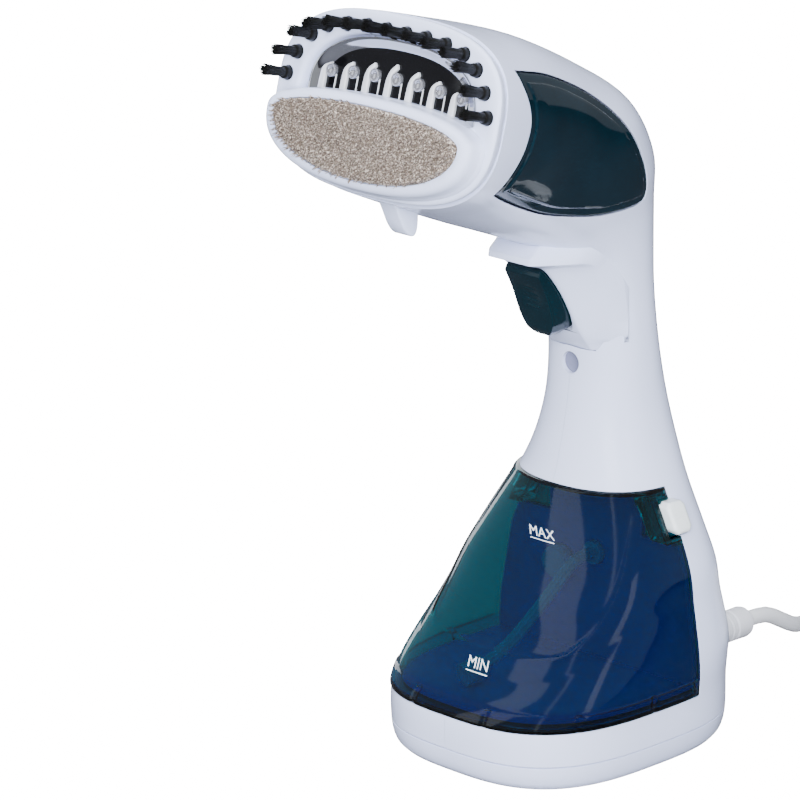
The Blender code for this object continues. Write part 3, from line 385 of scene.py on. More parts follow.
def box(name, low, high):
    bm = bmesh.new()
    bmesh.ops.create_cube(bm, size=1.0)
    bmesh.ops.scale(bm, vec=Vector(high) - Vector(low), verts=bm.verts)
    bmesh.ops.translate(bm, vec=(Vector(high) + Vector(low)) / 2, verts=bm.verts)
    return new_object(name, bm)


def rod(name, radius, start, end, sides=32):
    start, end = Vector(start), Vector(end)
    turn = Vector((0.0, 0.0, 1.0)).rotation_difference(end - start).to_matrix().to_4x4()
    bm = bmesh.new()
    bmesh.ops.create_cone(bm, cap_ends=True, segments=sides, radius1=radius, radius2=radius,
                          depth=(end - start).length)
    bmesh.ops.transform(bm, matrix=Matrix.Translation((start + end) / 2) @ turn, verts=bm.verts)
    return new_object(name, bm)


def turned(name, profile, start, direction, sides=48):
    """Solid of revolution from (radius, distance along the direction) rows."""
    turn = Vector((0.0, 0.0, 1.0)).rotation_difference(Vector(direction)).to_matrix()
    rings = []
    for radius, height in profile:
        rings.append([Vector(start) + turn @ Vector((radius * a, radius * b, height))
                      for a, b in circle(sides)])
    return skin(name, rings)


def extruded(name, outline, low, high, plane="side"):
    """Outline extruded across (plane side: y, z points) or up (plane face: x, y points)."""
    bm = bmesh.new()
    place = (lambda a, b: (low, a, b)) if plane == "side" else (lambda a, b: (a, b, low))
    face = bm.faces.new([bm.verts.new(place(a, b)) for a, b in outline])
    lifted = bmesh.ops.extrude_face_region(bm, geom=[face])["geom"]
    shift = (high - low, 0, 0) if plane == "side" else (0, 0, high - low)
    bmesh.ops.translate(bm, vec=shift, verts=[v for v in lifted if isinstance(v, bmesh.types.BMVert)])
    return new_object(name, bm)


def rounded_outline(points, corners=(), steps=5):
    """Closed smooth curve through the points, with sharp corners where listed."""
    count, smooth = len(points), []
    for i in range(count):
        here, there = Vector(points[i]), Vector(points[(i + 1) % count])
        before, after = Vector(points[i - 1]), Vector(points[(i + 2) % count])
        slope_here = there - here if i in corners else (there - before) / 2
        slope_there = there - here if (i + 1) % count in corners else (after - here) / 2
        for k in range(steps):
            smooth.append(tuple(hermite(k / steps, here, slope_here, there, slope_there)))
    return smooth


def grow_outline(outline, margin):
    area = sum(a[0] * b[1] - b[0] * a[1] for a, b in zip(outline, outline[1:] + outline[:1]))
    side = 1.0 if area > 0 else -1.0
    grown = []
    for k, point in enumerate(outline):
        here = Vector(point)
        back = (here - Vector(outline[k - 1])).normalized()
        ahead = (Vector(outline[(k + 1) % len(outline)]) - here).normalized()
        out_back, out_ahead = Vector((back.y, -back.x)) * side, Vector((ahead.y, -ahead.x)) * side
        bisector = (out_back + out_ahead).normalized()
        grown.append(tuple(here + bisector * margin / max(bisector.dot(out_back), 0.4)))
    return grown


def oval_stack(name, layers, sides):
    """Solid from ovals stacked in z: rows of z, half width, centre y, rise, drop and roundness."""
    rings = []
    for z, half_width, centre, rise, drop, power in layers:
        ring = []
        for a, b in circle(sides):
            across, up = signed_power(a, 2 / power), signed_power(b, 2 / power)
            ring.append(Vector((across * half_width, centre + up * (rise if up > 0 else drop), z)))
        rings.append(ring)
    return skin(name, rings)


def join(pieces):
    """Several loose meshes as one object."""
    bm = bmesh.new()
    for piece in pieces:
        bm.from_mesh(piece.data)
    name = pieces[0].name
    for piece in pieces:
        bpy.data.objects.remove(piece)
    return new_object(name, bm)


# ---------------------------------------------------------------- cord

CORD_R = 3.35
CORD_Z = 19.5
GLAND_END = 89.0
COIL_X, COIL_Y, COIL_BOTTOM = 30.0, 172.0, 1.1
COIL_INNER, COIL_OUTER = 26.0, 46.0
PLUG_X, PLUG_REAR, PLUG_FRONT, PLUG_Z = 56.0, 178.0, 142.0, 28.5
STRAP_THICK, STRAP_WIDE = 0.7, 7.6
CORD_LENGTH = 1800.0


def line_length(points):
    return sum((b - a).length for a, b in zip(points, points[1:]))


def smooth_route(points, spacing):
    route = [Vector(point) for point in points]
    dense = []
    for i in range(len(route) - 1):
        before, here = route[max(i - 1, 0)], route[i]
        there, after = route[i + 1], route[min(i + 2, len(route) - 1)]
        for k in range(24):
            dense.append(hermite(k / 24, here, (there - before) / 2, there, (after - here) / 2))
    dense.append(route[-1])
    total = line_length(dense)
    count = max(2, int(round(total / spacing)))
    even, walked = [dense[0]], 0.0
    for a, b in zip(dense, dense[1:]):
        step = (b - a).length
        while step > 0 and walked + step >= total / count * len(even) and len(even) < count:
            even.append(a + (b - a) * ((total / count * len(even) - walked) / step))
        walked += step
    return even + [dense[-1]]


def coil_point(turns, shift):
    """Centre line of the coil: inwards along the floor, out on the second layer, in again on the third."""
    pitch, outer, low = 6.74, 42.4 + shift, COIL_BOTTOM + CORD_R + 0.05
    inner = outer - 2 * pitch
    if turns < 2.0:
        radius, layer = outer - pitch * turns, 0.0
    elif turns < 2.5:
        climb = (turns - 2.0) / 0.5
        radius, layer = inner - 1.4 * math.sin(math.pi * climb) ** 0.8, smooth_step(climb)
    elif turns < 4.5:
        radius, layer = inner + pitch * (turns - 2.5), 1.0
    elif turns < 5.0:
        climb = (turns - 4.5) / 0.5
        radius, layer = outer + 1.0 * math.sin(math.pi * climb) ** 0.8, 1.0 + smooth_step(climb)
    else:
        radius, layer = outer - pitch * (turns - 5.0), 2.0
    angle = math.radians(203.0 - 360.0 * turns)
    return Vector((COIL_X + radius * math.cos(angle), COIL_Y + radius * math.sin(angle), low + pitch * layer))


def cord_line(shift):
    """From the gland to the surface, round and up the turns of the coil, and over it into the plug."""
    start = coil_point(0.0, shift)
    lead = smooth_route([(0, GLAND_END - 1.0, CORD_Z), (0, 97, CORD_Z), (-0.2, 105, 18.2), (-1.5, 115, 13.2),
                         (-4, 125, 8.2), (-7.0, 134, 5.4), tuple(start + Vector((2.3, -10.5, 0.1))),
                         tuple(start)], 5.0)
    turns = [coil_point(k / 48, shift) for k in range(1, 331)]
    last = turns[-1]
    tail = smooth_route([tuple(turns[-3]), tuple(last), (COIL_X - 29.5, COIL_Y + 10, last.z + 3.6),
                         (COIL_X - 24.5, COIL_Y + 28, last.z + 7.0), (COIL_X - 10, COIL_Y + 40, last.z + 7.2),
                         (COIL_X + 8, COIL_Y + 39.5, last.z + 7.6), (COIL_X + 21, COIL_Y + 29.5, 28.2),
                         (PLUG_X, PLUG_REAR + 11, PLUG_Z), (PLUG_X, PLUG_REAR + 4, PLUG_Z)], 5.0)
    return lead + turns + tail[3:]


def make_cord():
    """The cord, with the coil's radius shifted until the whole length comes out right."""
    shift = solve(lambda extra: line_length(cord_line(extra)) - CORD_LENGTH, -2.5, 2.5, 29)
    curve = bpy.data.curves.new("mains_cord", "CURVE")
    curve.dimensions = "3D"
    curve.bevel_depth = CORD_R * MM
    curve.bevel_resolution = 5
    curve.use_fill_caps = True
    line = cord_line(shift)
    spline = curve.splines.new("POLY")
    spline.points.add(len(line) - 1)
    for slot, point in zip(spline.points, line):
        slot.co = (*(AXIS @ point * MM), 1.0)
    spline.use_smooth = True
    curve.materials.append(JACKET)
    cord = add_object("mains_cord", curve)
    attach(cord, "housing")
    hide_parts("cord_tube", "cord_coil")
    return cord


def make_gland():
    """Ribbed strain relief, tapering towards the cord."""
    profile = [(6.9, 43.0), (7.4, 43.6), (7.4, 47.0), (6.95, 47.6)]
    for k in range(9):
        y = 50.0 + 3.4 * k
        radius = 6.9 - 0.06 * k
        profile += [(radius, y), (radius, y + 2.1), (radius - 0.55, y + 2.35), (radius - 0.55, y + 3.15)]
    profile += [(6.4, 80.9), (6.5, 87.6), (6.1, GLAND_END), (3.5, GLAND_END)]
    gland = turned("strain_relief", profile, (0, 0, CORD_Z), (0, 1, 0), 64)
    return settle(gland, AXIS, "housing", "cord_jacket", GLAND_MATERIAL, "cord_gland", smooth=30)


def make_plug():
    rings = []
    for y, half, tall in ((PLUG_REAR + 10, 4.4, 4.4), (PLUG_REAR + 6, 4.9, 4.7), (PLUG_REAR + 5.6, 4.4, 4.3),
                          (PLUG_REAR + 4.4, 4.5, 4.4), (PLUG_REAR + 4, 5.2, 4.9), (PLUG_REAR, 6.0, 5.2),
                          (PLUG_REAR - 5, 8.0, 5.8), (PLUG_REAR - 10, 11.0, 6.5), (PLUG_REAR - 15, 13.9, 6.9),
                          (PLUG_REAR - 20, 15.7, 7.0), (PLUG_REAR - 30, 16.9, 7.0),
                          (PLUG_FRONT + 1.6, 17.1, 7.0), (PLUG_FRONT + 0.5, 16.8, 6.7),
                          (PLUG_FRONT, 16.2, 6.1)):
        rings.append([Vector((PLUG_X + signed_power(a, 0.7) * half, y, PLUG_Z + signed_power(b, 0.7) * tall))
                      for a, b in circle(56)])
    plug = settle(skin("mains_plug", rings), AXIS, "housing", "cord_jacket", JACKET, "plug_body")
    pins = []
    for label, x in (("left", PLUG_X - 9.3), ("right", PLUG_X + 9.3)):
        profile = [(0.9, 0.3), (1.7, 0.7), (2.0, 1.6), (2.0, 9.0), (1.85, 9.2), (1.85, 19.0)]
        pin = turned("plug_contact_" + label, profile, (x, PLUG_FRONT - 19.3, PLUG_Z), (0, 1, 0), 32)
        pins.append(settle(pin, AXIS, "housing", "plug_metal", STEEL, "plug_pin_" + label))
    return [plug] + pins


def make_tie():
    """Flat strap round the bundle of turns."""
    low, high = COIL_Y - COIL_OUTER - 0.4, COIL_Y - COIL_INNER + 0.4
    outline = rounded_outline([(low - 0.8, 4.0), (low - 0.6, 1.2), (low + 2.4, 0.3), (high - 2.4, 0.3),
                               (high + 0.6, 1.2), (high + 0.8, 4.0), (high + 0.8, 18.0), (high - 1.5, 22.0),
                               (low + 1.5, 22.0), (low - 0.8, 18.0)], steps=8)
    mid_y, mid_z = (low + high) / 2, 11.1
    inner = [(y - STRAP_THICK * (y - mid_y) / (high - mid_y), z - STRAP_THICK * (z - mid_z) / 10.8)
             for y, z in outline]
    left, right = COIL_X - STRAP_WIDE / 2, COIL_X + STRAP_WIDE / 2
    edges = ((left, outline), (right, outline), (right, inner), (left, inner), (left, outline))
    rings = [[Vector((x, y, z)) for y, z in loop] for x, loop in edges]
    strap = skin("cord_strap", rings, False)
    bm = bmesh.new()
    bm.from_mesh(strap.data)
    bmesh.ops.remove_doubles(bm, verts=bm.verts, dist=0.001)
    bmesh.ops.recalc_face_normals(bm, faces=bm.faces)
    bm.to_mesh(strap.data)
    bm.free()
    return settle(strap, AXIS, "housing", "tie_strap", STRAP, "cord_tie")


def make_cord_set():
    cord = make_cord()
    pieces = make_plug() + [make_tie(), make_gland()]


# ---------------------------------------------------------------- skin of the body

def side_x(y, z):
    """Half width of the skin beside the point (y, z)."""
    def offset(t):
        front_y, front_z, rear_y, rear_z = blend_stations(t)[:4]
        return (front_y - rear_y) * (z - front_z) - (front_z - rear_z) * (y - front_y)

    front_y, _, rear_y, _, half_width, power = blend_stations(solve(offset, 2.0, 23.0))
    along = min(abs((y - (front_y + rear_y) / 2) / ((rear_y - front_y) / 2)), 1.0)
    return half_width * (1 - along ** power) ** (1 / power)


def front_y_at(x, z):
    """Depth of the skin's front at height z, for the part below the neck."""
    row = blend_stations(solve(lambda t: blend_stations(t)[1] - z, 2.0, 12.0))
    share = max(1 - abs(x / row[4]) ** row[5], 0.0) ** (1 / row[5])
    return (row[0] + row[2]) / 2 - (row[2] - row[0]) / 2 * share


def outline_distance(points, outline):
    """Distance from each (a, b) point to a closed outline."""
    spots = np.array(points, dtype=float)
    starts = np.array(outline, dtype=float)
    ends = np.roll(starts, -1, axis=0)
    best = np.full(len(spots), 1e9)
    for start, end in zip(starts, ends):
        run = end - start
        share = np.clip(((spots - start) @ run) / max(run @ run, 1e-9), 0.0, 1.0)
        best = np.minimum(best, np.linalg.norm(spots - start - share[:, None] * run, axis=1))
    return best


def side_patch(name, outline, centre, side, lift, depth, levels):
    """Panel that follows the side of the skin: lift(distance from its edge), closed at the back."""
    bm = bmesh.new()
    loops, spots = [], []
    for level in levels:
        loop = []
        for a, b in outline:
            y, z = centre[0] + (a - centre[0]) * level, centre[1] + (b - centre[1]) * level
            loop.append(bm.verts.new((side * side_x(y, z), y, z)))
            spots.append((y, z))
        loops.append(loop)
    bridge(bm, loops)
    bm.faces.new(loops[-1])
    bmesh.ops.recalc_face_normals(bm, faces=bm.faces)
    bm.normal_update()
    distances = outline_distance(spots, outline)
    verts = [vert for loop in loops for vert in loop]
    turn = 1.0 if sum(v.normal.x for v in verts) * side > 0 else -1.0
    moves = [v.normal * turn * lift(d) for v, d in zip(verts, distances)]
    for vert, move in zip(verts, moves):
        vert.co += move
    back = [bm.verts.new(vert.co - Vector((side * depth, 0.0, 0.0))) for vert in loops[0]]
    bridge(bm, [loops[0], back])
    bm.faces.new(back)
    return new_object(name, bm)


# ---------------------------------------------------------------- housing

HOUSING_WALL = 2.4
LAMP_Z, LAMP_R = 150.3, 4.3
BUTTON_BOX = ((-2.9, 86.8), (6.3, 98.2))


def button_space(name, side, inner, gap):
    """Block round a release button, with the same gap on all four sides."""
    (y0, z0), (y1, z1) = BUTTON_BOX
    low, high = sorted((side * inner, side * 60.0))
    return box(name, (low, y0 - gap, z0 - gap), (high, y1 + gap, z1 + gap))


def make_housing():
    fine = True
    shell = body_loft("housing", 2.03, 23.0, 0.0, False, sides=144 if fine else 84, rows=6 if fine else 4)
    thicken(shell, HOUSING_WALL)
    outline = rounded_outline(WINDOW_OUTLINE, WINDOW_CORNERS, 6)
    lip = rounded_outline(BEZEL_OUTLINE, BEZEL_CORNERS, 4)
    head = box("face", (-90, -90, -6.0), (90, 90, 60))
    head.data.transform(FACE_LOCAL)
    cutters = [box("space", (-90, -120, 23.9), (90, 3.15, 104.1)), head,
               extruded("bezel", grow_outline(lip, 0.3), -11.5, 11.5),
               rod("lamp", LAMP_R, (0, -30, LAMP_Z), (0, -5, LAMP_Z), 48),
               rod("gland", 7.3, (0, 36, CORD_Z), (0, 60, CORD_Z), 48),
               box("tab", (-5.2, -115.9, 205), (5.2, -98.8, 239)),
               extruded("right", outline, 8, 80), extruded("left", outline, -80, -8)]
    cut(shell, join(cutters))
    cut(shell, join([button_space("pocket", side, 26, 0.3) for side in (-1, 1)]))
    for label, low, high in (("left", -120, -0.006), ("right", 0.006, 120)):
        half = shell.copy()
        half.data = shell.data.copy()
        bpy.context.scene.collection.objects.link(half)
        cut(half, box("half", (low, -200, -10), (high, 120, 320)), "INTERSECT")
        half.name = half.data.name = "body_shell_" + label
        settle(half, AXIS, "housing", "white_plastic", WHITE, "housing_" + label, smooth=28)
    bpy.data.objects.remove(shell)


def make_base():
    rings = [ring_points(k / 10, 144, 1.2 if k == 0 else 0.0) for k in range(0, 20)]
    rings += [ring_points(1.965, 144), ring_points(1.99, 144, 0.45), ring_points(1.99, 144, 3.0)]
    cover = skin("foot_cover", rings)
    pockets = [rod("pocket", 7.0, (x, y, -3), (x, y, 1.6)) for x, y in FOOT_PLACES]
    cut(cover, join(pockets))
    settle(cover, AXIS, "housing", "white_plastic", WHITE, "base_cover", smooth=40)
    for number, (x, y) in enumerate(FOOT_PLACES, 1):
        profile = [(3.0, 1.45), (6.6, 1.45), (6.6, 0.45), (6.2, 0.05), (5.9, 0.0), (3.2, 0.0), (2.9, 0.25),
                   (1.0, 0.3)]
        foot = turned("foot_pad_%d" % number, profile, (x, y, 0), (0, 0, 1))
        settle(foot, AXIS, "housing", "rubber", RUBBER, "rubber_foot_%d" % number)


def make_windows():
    outline = grow_outline(rounded_outline(WINDOW_OUTLINE, WINDOW_CORNERS, 6), -0.28)
    levels = [1.0, 0.997, 0.99, 0.975, 0.96, 0.95, 0.94, 0.93, 0.922, 0.915, 0.908, 0.9, 0.89, 0.88,
              0.865, 0.85, 0.82, 0.78, 0.73, 0.67, 0.6, 0.52, 0.43, 0.33, 0.22, 0.1]

    def lift(distance):
        """Sunk edge, flat border, then a raised and slightly crowned middle."""
        edge = -0.35 * (1 - smooth_step(distance / 0.5))
        step = 0.75 * smooth_step((distance - 3.1) / 0.9)
        return edge - 0.1 + step + 0.9 * smooth_step((distance - 3.0) / 22.0)

    for label, side in (("left", -1), ("right", 1)):
        pane = side_patch("window_pane_" + label, outline, (-52.0, 244.0), side, lift, 2.0, levels)
        settle(pane, AXIS, "housing", "window_plastic", NAVY, "window_" + label, smooth=30)


# ---------------------------------------------------------------- water tank

TANK_BACK_Y, TANK_WALL = 2.85, 2.0
TANK_GIRTH = 186.0                          # nominal way round the front of the tank, for its ticks
LEDGE_Z, TICK_PITCH = 30.4, 29.0
BAND_WIDTH = 8.6                            # sloping band round the front panel
MARK_SIZE, MARK_UNDERLINE = 6.2, -1.5
PANEL_LINE = [
    (29.3, 105.0), (32.7, 96.0), (36.5, 84.0), (39.3, 71.6), (38.8, 61.0), (36.2, 52.9), (31.7, 49.5),
    (20.6, 48.0), (0.0, 47.3),
]


def signed_panel_distance(points, outline):
    """Distance to the front panel's border, negative inside it."""
    distance = outline_distance(points, outline)
    edges = np.array(outline)
    ends = np.roll(edges, -1, axis=0)
    spots = np.array(points)
    inside = np.zeros(len(spots), dtype=bool)
    for (ax, az), (bx, bz) in zip(edges, ends):
        crosses = (az > spots[:, 1]) != (bz > spots[:, 1])
        if abs(bz - az) > 1e-9:
            at = (bx - ax) * (spots[:, 1] - az) / (bz - az) + ax
            inside ^= crosses & (spots[:, 0] < at)
    return np.where(inside, -distance, distance)


def tank_row(z, columns):
    """Evenly spaced points round the front of the skin at one height, rear right to rear left."""
    row = blend_stations(solve(lambda t: blend_stations(t)[1] - z, 2.0, 12.0))
    middle, reach, half, power = (row[0] + row[2]) / 2, (row[2] - row[0]) / 2, row[4], row[5]
    start = math.acos(signed_power((TANK_BACK_Y - middle) / reach, power / 2))
    dense = []
    for k in range(361):
        angle = start + (2 * math.pi - 2 * start) * k / 360
        dense.append((signed_power(math.sin(angle), 2 / power) * half,
                      middle + signed_power(math.cos(angle), 2 / power) * reach))
    dense = np.array(dense)
    walked = np.concatenate([[0.0], np.cumsum(np.linalg.norm(np.diff(dense, axis=0), axis=1))])
    marks = np.linspace(0.0, walked[-1], columns)
    return list(zip(np.interp(marks, walked, dense[:, 0]), np.interp(marks, walked, dense[:, 1])))


def tank_relief(z, panel, arc):
    """How far the moulding stands out: collar, its ribs, and the front panel inside its sloping band."""
    relief = 0.7 * (1 - smooth_step((z - LEDGE_Z) / 0.8))
    rib = abs((arc / TICK_PITCH) % 1.0 - 0.5) * TICK_PITCH
    if z < 30.0:
        relief -= 0.5 * (1 - smooth_step((rib - 0.4) / 0.5))
    slope = min(max((BAND_WIDTH - panel) / (BAND_WIDTH - 1.1), 0.0), 1.0) * smooth_step((z - 31.5) / 5.0)
    relief += 1.3 * slope
    relief -= 0.42 * (1 - smooth_step((panel + 0.6) / 1.1))
    return relief


def make_painted_shade_floor():
    """Dark inner floor of painted shade, which keeps the white foot from showing through the tint."""
    rings = []
    for z, inset in ((26.5, 3.4), (27.1, 3.4), (27.3, 3.8)):
        rings.append([Vector((x * (1 - inset / 50), y + inset * (1 if y < -10 else -0.3), z))
                      for x, y in tank_row(z, 120)])
    # painted shade: a dark sheet inside the tank, where the inside lies in shade
    settle(skin("tank_painted_shade_floor", rings), AXIS, "tank", "tank_plastic", TANK_BACK_TINT_AND_SHADE, smooth=40)


def make_tank():
    columns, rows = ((256, 198))
    low, high = 24.2, 103.8
    outline = rounded_outline(PANEL_LINE + [(-x, z) for x, z in PANEL_LINE[-2::-1]], (0, 16), 5)
    heights = [low + (high - low) * k / (rows - 1) for k in range(rows)]
    grid = [tank_row(z, columns) for z in heights]
    spots = [(x, z) for z, row in zip(heights, grid) for x, _ in row]
    panel = signed_panel_distance(spots, outline)
    bm = bmesh.new()
    verts = []
    for i, (z, row) in enumerate(zip(heights, grid)):
        line = []
        for k, (x, y) in enumerate(row):
            before, after = row[max(k - 1, 0)], row[min(k + 1, columns - 1)]
            normal = Vector((after[1] - before[1], before[0] - after[0], 0.0)).normalized()
            if normal.x * x < 0:
                normal.negate()
            relief = tank_relief(z, panel[i * columns + k], TANK_GIRTH * (k / (columns - 1) - 0.5))
            rim = min(z - low, high - z)
            relief -= 0.35 * (1 - smooth_step(rim / 0.6))
            fade = smooth_step(min(k, columns - 1 - k) / 5.0)
            line.append(bm.verts.new(Vector((x, y, z)) + normal * relief * fade))
        verts.append(line)
    for i in range(rows - 1):
        for k in range(columns - 1):
            bm.faces.new((verts[i][k], verts[i][k + 1], verts[i + 1][k + 1], verts[i + 1][k]))
    bm.faces.new(verts[0])
    bm.faces.new(verts[-1])
    tank = new_object("water_tank", bm)
    thicken(tank, TANK_WALL)
    cut(tank, join([button_space("pocket", side, 26, 0.6) for side in (-1, 1)]))
    settle(tank, AXIS, "tank", "tank_plastic", TANK, "tank_shell", smooth=50)
    make_painted_shade_floor()
    for label, side in (("left", -1), ("right", 1)):
        liner = button_space("tank_latch_pocket_" + label, side, 20, 2.6)
        cut(liner, box("rear", (-90, 2.8, 60), (90, 30, 120)))
        cut(liner, body_loft("skin", 6.0, 12.0, 0.5, True, 84, 4), "INTERSECT")
        cut(liner, body_loft("core", 6.0, 12.0, 9.0, True, 84, 4))
        space = button_space("space", side, 20, 0.6)
        cut(space, body_loft("core", 6.0, 12.0, 7.0, True, 84, 4))
        cut(liner, space)
        settle(liner, AXIS, "tank", "tank_plastic", TANK, smooth=40)


def make_mark(name, words, centre, base, half, lift):
    """Level mark printed on the front of the tank, slanted, with a line of the given half width below."""
    curve = bpy.data.curves.new(name, "FONT")
    curve.body = words
    curve.size = MARK_SIZE
    curve.align_x = "CENTER"
    curve.resolution_u = 6
    letters = add_object(name, curve)
    bpy.context.view_layer.update()
    mesh = bpy.data.meshes.new_from_object(letters.evaluated_get(bpy.context.evaluated_depsgraph_get()))
    bpy.data.objects.remove(letters)
    bm = bmesh.new()
    bm.from_mesh(mesh)
    places = [-half + 2 * half * k / 12 for k in range(13)]
    low = [bm.verts.new((x, MARK_UNDERLINE, 0)) for x in places]
    high = [bm.verts.new((x, MARK_UNDERLINE + 0.42, 0)) for x in places]
    for k in range(12):
        bm.faces.new((low[k], low[k + 1], high[k + 1], high[k]))
    bmesh.ops.subdivide_edges(bm, edges=[e for e in bm.edges if e.calc_length() > 1.5], cuts=2)
    for vert in bm.verts:
        x, z = centre + vert.co.x - 0.48 * vert.co.y, base + 0.74 * vert.co.y
        vert.co = Vector((x, front_y_at(x, z) - lift, z))
    made = bpy.data.meshes.new(name)
    bm.to_mesh(made)
    bm.free()
    mark = add_object(name, made)
    thicken(mark, 0.08)
    settle(mark, AXIS, "tank", "white_plastic", INK)


BUTTON_CORNER, BUTTON_PROUD, BUTTON_DEPTH, BUTTON_CROWN = 1.6, 3.0, 5.2, 1.5


def button_lift(distance):
    """How far a release button stands out: a quarter round at its edge, then flat."""
    inward = min(distance / BUTTON_CROWN, 1.0)
    return BUTTON_CROWN * math.sqrt(max(1 - (1 - inward) ** 2, 0.0)) + BUTTON_PROUD


def make_buttons():
    (y0, z0), (y1, z1) = BUTTON_BOX
    c = BUTTON_CORNER
    corners = [(y0 + c, z0), (y1 - c, z0), (y1, z0 + c), (y1, z1 - c), (y1 - c, z1), (y0 + c, z1),
               (y0, z1 - c), (y0, z0 + c)]
    outline = []
    for (ay, az), (by, bz) in zip(corners, corners[1:] + corners[:1]):
        outline += [(ay + (by - ay) * k / 8, az + (bz - az) * k / 8) for k in range(8)]
    levels = [1.0, 0.985, 0.965, 0.94, 0.9, 0.85, 0.78, 0.68, 0.55, 0.4, 0.2]
    for label, side in (("left", -1), ("right", 1)):
        button = side_patch("release_button_" + label, outline, ((y0 + y1) / 2, (z0 + z1) / 2), side,
                            button_lift, BUTTON_DEPTH, levels)
        settle(button, AXIS, "button_" + label, "white_plastic", BUTTON_WHITE,
               "latch_button_" + label, smooth=50)


# ------------------------------------------------ head face (x across, y up, z out of the face)

OPENING = (44.3, 24.9, 2.4)                 # half width, rise and roundness of the hole over the steam plate
LINT_FRAME = (53.5, -9.0, 12.4, 23.6, 2.35)
LINT_PAD = (47.0, -9.2, 7.9, 19.0, 2.1)
TUFT_PLACES = ((51.3, 3.9), (48.0, 12.3), (42.2, 19.7), (34.8, 24.2), (25.2, 26.2), (15.1, 27.0), (5.0, 27.0))
PLATE_DEPTH = -5.4


def tuft_places():
    return [(side * x, y) for x, y in TUFT_PLACES for side in (-1, 1)]


def boss_layer(height, inset):
    half, centre, rise, drop, power = LINT_FRAME
    return height, half - inset, centre, rise - 0.8 * inset, drop - 0.95 * inset, power


def make_brush_frame():
    body = [(-5.7, 54.6, 0.0, 32.6, 32.6, 2.8), (-3.6, 55.6, 0.0, 33.1, 33.1, 2.83),
            (-1.9, 56.3, 0.0, 33.4, 33.4, 2.85), (-1.1, 56.4, 0.0, 33.4, 33.4, 2.85),
            (-0.5, 56.1, 0.0, 33.1, 33.1, 2.85), (-0.15, 55.6, 0.0, 32.7, 32.7, 2.85),
            (0.0, 54.9, 0.0, 32.1, 32.1, 2.85), (0.05, 53.5, 0.0, 30.9, 30.9, 2.85)]
    frame_piece = oval_stack("brush_surround", body, sides=180)
    boss = oval_stack("boss", [boss_layer(*row) for row in (
        (-2.0, 0.0), (0.6, 0.05), (1.4, 0.5), (2.0, 0.75), (4.8, 0.95), (6.2, 1.25), (7.1, 1.8), (7.7, 2.6),
        (8.05, 3.5), (8.2, 4.4), (8.15, 5.0))], sides=180)
    cut(frame_piece, boss, "UNION")
    half, rise, power = OPENING
    flare = [(-20.0, 0.0), (-2.6, 0.0), (-1.6, 0.12), (-0.9, 0.4), (-0.4, 0.85), (-0.05, 1.5), (0.2, 2.4),
             (3.0, 3.4)]
    layers = [(z, half + g, 0.0, rise + g * 0.8, 2.0, power) for z, g in flare]
    window = oval_stack("window", layers, sides=180)
    cut(window, oval_stack("keep", [boss_layer(z, 0.4) for z in (-30.0, 30.0)], sides=180))
    cut(frame_piece, window)
    half, centre, rise, drop, power = LINT_PAD
    layers = [(z, half + 0.4, centre, rise + 0.4, drop + 0.4, power) for z in (6.4, 20.0)]
    seat = oval_stack("seat", layers, sides=180)
    cut(frame_piece, seat)
    cut(frame_piece, join([rod("hole", 2.85, (x, y, -4.2), (x, y, 12.0)) for x, y in tuft_places()]))
    settle(frame_piece, FACE, "brush", "white_plastic", WHITE, "brush_frame", smooth=32)


def fibre(bm, start, bend, tip, radius, sides=4, segments=4):
    """One stiff hair from start to tip, bowed sideways by bend."""
    axis = (tip - start).normalized()
    side = axis.orthogonal().normalized()
    other = axis.cross(side)
    rings, corners = [], circle(sides)
    for i in range(segments + 1):
        u = i / segments
        middle = start.lerp(tip, u) + bend * math.sin(math.pi * u)
        size = radius * (1.0 - 0.45 * u)
        rings.append([middle + (side * a + other * b) * size for a, b in corners])
    tube(bm, rings)


def make_bristles():
    """Tufts of stiff black hair, each in a collar, splayed and uneven at the tips."""
    picks = random.Random(11)
    bm = bmesh.new()
    cores = []
    count = 130
    collar = [(2.5, -4.0), (2.5, 1.9), (2.35, 2.35), (1.85, 2.6), (1.65, 6.0), (1.65, 10.6), (1.3, 11.2)]
    for x, y in tuft_places():
        lean = Vector((picks.uniform(-0.4, 0.4), picks.uniform(-0.4, 0.4), 0.0))
        length = 12.7 + picks.uniform(-0.4, 0.4)
        for _ in range(count):
            angle, share = picks.uniform(0, 2 * math.pi), math.sqrt(picks.random())
            across = Vector((math.cos(angle), math.sin(angle), 0.0))
            start = Vector((x, y, 1.0)) + across * share * 1.75
            tip = Vector((x, y, length - 1.1 * share * picks.random() + picks.uniform(-0.7, 0.3))) + lean
            fibre(bm, start, across * picks.uniform(-0.3, 0.0),
                  tip + across * share * (1.95 + picks.uniform(-0.1, 0.6)), 0.25)
        cores.append(turned("core", collar, (x, y, 0.0), (0, 0, 1), 20))
    hair = new_object("brush_tufts", bm)
    line = [Vector((-x, y)) for x, y in TUFT_PLACES] + [Vector((x, y)) for x, y in reversed(TUFT_PLACES)]
    outer, inner = [], []
    for k, point in enumerate(line):
        ahead = (line[min(k + 1, len(line) - 1)] - line[max(k - 1, 0)]).normalized()
        normal = Vector((-ahead.y, ahead.x)) * 2.5
        outer.append(tuple(point + normal))
        inner.append(tuple(point - normal))
    strip = extruded("strip", outer + inner[::-1], -5.0, -3.4, "face")
    settle(join([hair, strip] + cores), FACE, "brush", "black_plastic", HAIR, "bristle_strip", smooth=45)


